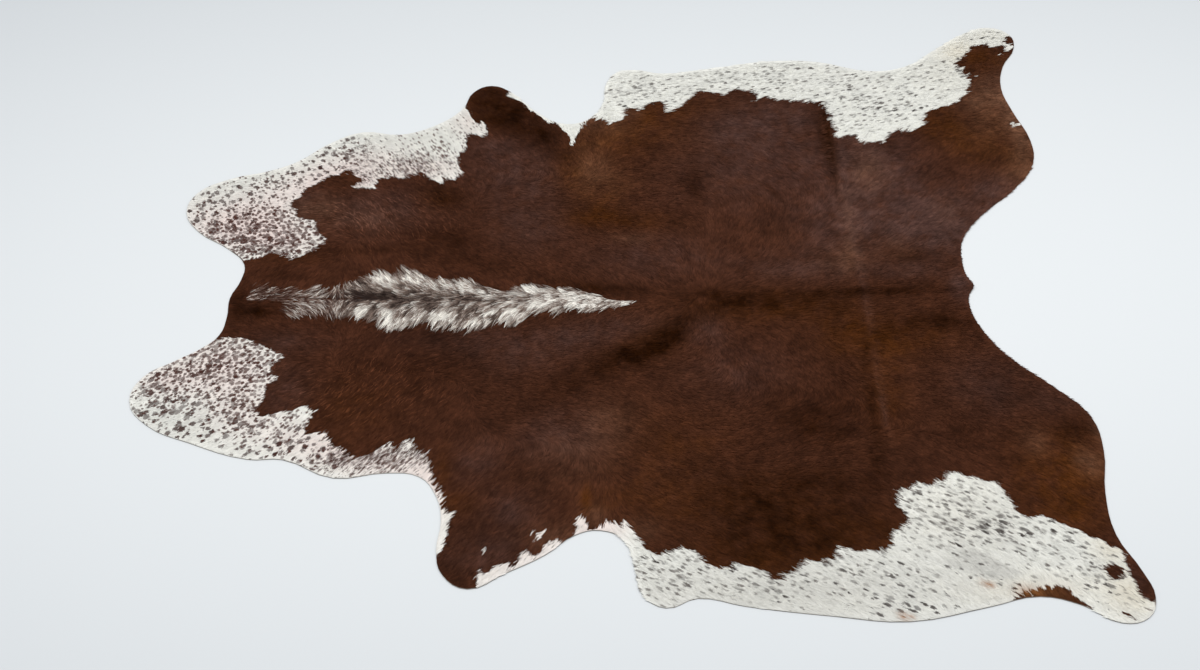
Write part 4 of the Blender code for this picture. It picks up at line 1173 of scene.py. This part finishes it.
def grow_back_hair(name):
    """Ribbons that follow the lie of the hair step by step and taper to a point."""
    rng = np.random.default_rng(41)
    ring = read_table(BACK_BAND, 2)
    count = HAIRS_TRIED
    x, y = (rng.uniform(*side, count) for side in BAND_BOX)
    middle_x, middle_y, tuft = clump_of(x, y, TUFT, 43)
    chance = np.random.default_rng(44).uniform(0.0, 1.0, (4096, 3))[tuft]
    length = SHORTEST + LONGER * soft_step(1.0 - np.abs(x + 0.42) / 0.45)
    length = length * rng.uniform(0.7, 1.15, count) * (0.7 + 0.5 * chance[:, 0])
    # Only hairs whose tips end inside the band are kept, so its edge is made of pointed tufts.
    rise = along_back(x, BAND_RISE) * rng.uniform(0.5, 1.0, count)
    stray = rng.normal(size=count) * along_back(x, BAND_STRAY)
    right, up = band_lie(middle_x, middle_y, stray)
    right, up = turned(right, up, 0.35 * (chance[:, 1] - 0.5))
    tip_inside = inside_by(
        ring, middle_x + 0.97 * length * right, middle_y + 0.97 * length * up + 0.5 * rise
    )
    kept = inside_by(ring, x, y) > -ROOT_OUTSIDE
    kept &= tip_inside > TIP_UNEVEN * rng.normal(size=count)
    kept &= rng.uniform(0.0, 1.0, count) < along_back(x, BAND_FULLNESS)
    x, y, middle_x, middle_y, length, chance, rise, stray = (
        part[kept] for part in (x, y, middle_x, middle_y, length, chance, rise, stray)
    )
    count = len(x)
    rise = rise * (0.35 + 0.65 * soft_step(np.abs(off_parting(x, y)) / 0.014))
    turn = rng.normal(0.0, 0.08, count) + 0.7 * (chance[:, 1] - 0.5)
    wave = rng.uniform(0.0, 2.0 * math.pi, count)
    width = HAIR_WIDTH * rng.uniform(0.7, 1.2, count)
    start_gap = (middle_x - x, middle_y - y)
    rows = []
    here_x, here_y = x.copy(), y.copy()
    for step in range(HAIR_STEPS + 1):
        share = step / HAIR_STEPS
        right, up = band_lie(here_x, here_y, stray)
        right, up = turned(right, up, turn * share + 0.12 * np.sin(wave + 5.0 * share))
        across = (start_gap[0] * -up + start_gap[1] * right) * TUFT_DRAWN * soft_step(share)
        place_x, place_y = here_x - up * across, here_y + right * across
        height = rise * math.sin(math.pi * (0.12 + 0.80 * share)) + LEAST_HEIGHT
        z = skin_height(place_x, place_y) + SKIN + height
        half = 0.5 * width * (1.0 - TAPER * share)
        for side in (half, -half):
            rows.append(np.column_stack([place_x + up * side, place_y - right * side, z]))
        here_x = here_x + right * length / HAIR_STEPS
        here_y = here_y + up * length / HAIR_STEPS
    tip = 0.5 * (rows[-2] + rows[-1])
    points = np.stack([*rows[:-2], tip], axis=1)
    per_hair = points.shape[1]
    base = np.arange(count)[:, None] * per_hair
    ladder = range(0, 2 * HAIR_STEPS - 2, 2)
    quads = np.concatenate([base + [rung, rung + 2, rung + 3, rung + 1] for rung in ladder])
    tips = base + [per_hair - 3, per_hair - 1, per_hair - 2]
    flat_points = points.reshape(-1, 3)
    mesh = bpy.data.meshes.new(name)
    mesh.from_pydata(flat_points, [], [*quads.tolist(), *tips.tolist()])
    # Pigment goes by tufts, so that near-white locks lie beside grey and near-black ones.
    seen = (points[:, 6, 0], points[:, 6, 1])
    dark = along_back(middle_x, BAND_PIGMENT)
    dark = dark - WHITER * tone("band whiter", *seen) + DARKER * tone("band darker", *seen)
    dark = dark + TUFT_MIX * (chance[:, 2] - 0.5)
    dark = dark + along_back(x, BAND_MIX) * rng.normal(size=count)
    note(mesh, "pigment", np.repeat(np.clip(dark, 0.0, 1.0), per_hair))
    note(mesh, "rusty", np.repeat(along_back(x, BAND_RUST), per_hair))
    note(mesh, "lock", np.repeat(rng.uniform(0.0, 1.0, count), per_hair))
    shares = np.append(np.repeat(np.arange(HAIR_STEPS) / HAIR_STEPS, 2), 1.0)
    note(mesh, "tip", np.tile(shares, count))
    corner_points = np.concatenate([quads.ravel(), tips.ravel()])
    map_from_above(mesh, flat_points[corner_points][:, :2])
    return new_object(name, mesh)


# White, grey-brown and near-black hair, darker at the root and a little rusty at the neck.
back_hair, tree, shader = new_material("long_roan_back_hair", 0.55)
root_dark = {0: read_note(tree, "tip"), 1: 0.0, 2: 0.45, 3: 0.34, 4: 0.0}
root_dark = add_node(tree, "MapRange", {}, root_dark)
amount = {0: read_note(tree, "pigment"), 1: root_dark}
amount = add_node(tree, "Math", {"operation": "ADD"}, amount)
to_grey = add_node(tree, "MapRange", {}, {0: amount, 1: 0.12, 2: 0.52})
to_dark = add_node(tree, "MapRange", {}, {0: amount, 1: 0.52, 2: 1.00})
colour = stain(
    tree,
    linear("#f8f3ea"),
    (to_grey, linear("#8a776c")),
    (to_dark, linear("#2e1f19")),
    (read_note(tree, "rusty"), linear("#6a3c2b")),
)
finish_hair(tree, shader, shade_locks(tree, colour, 0.66, 1.42, 0.70), 0.12, 0.06, "#ffffff")

hair_of_the_back = grow_back_hair("long_hair_of_the_back")
hair_of_the_back.data.materials.append(back_hair)
coat_pieces.append(hair_of_the_back)

for piece in coat_pieces:
    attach(piece, "root")
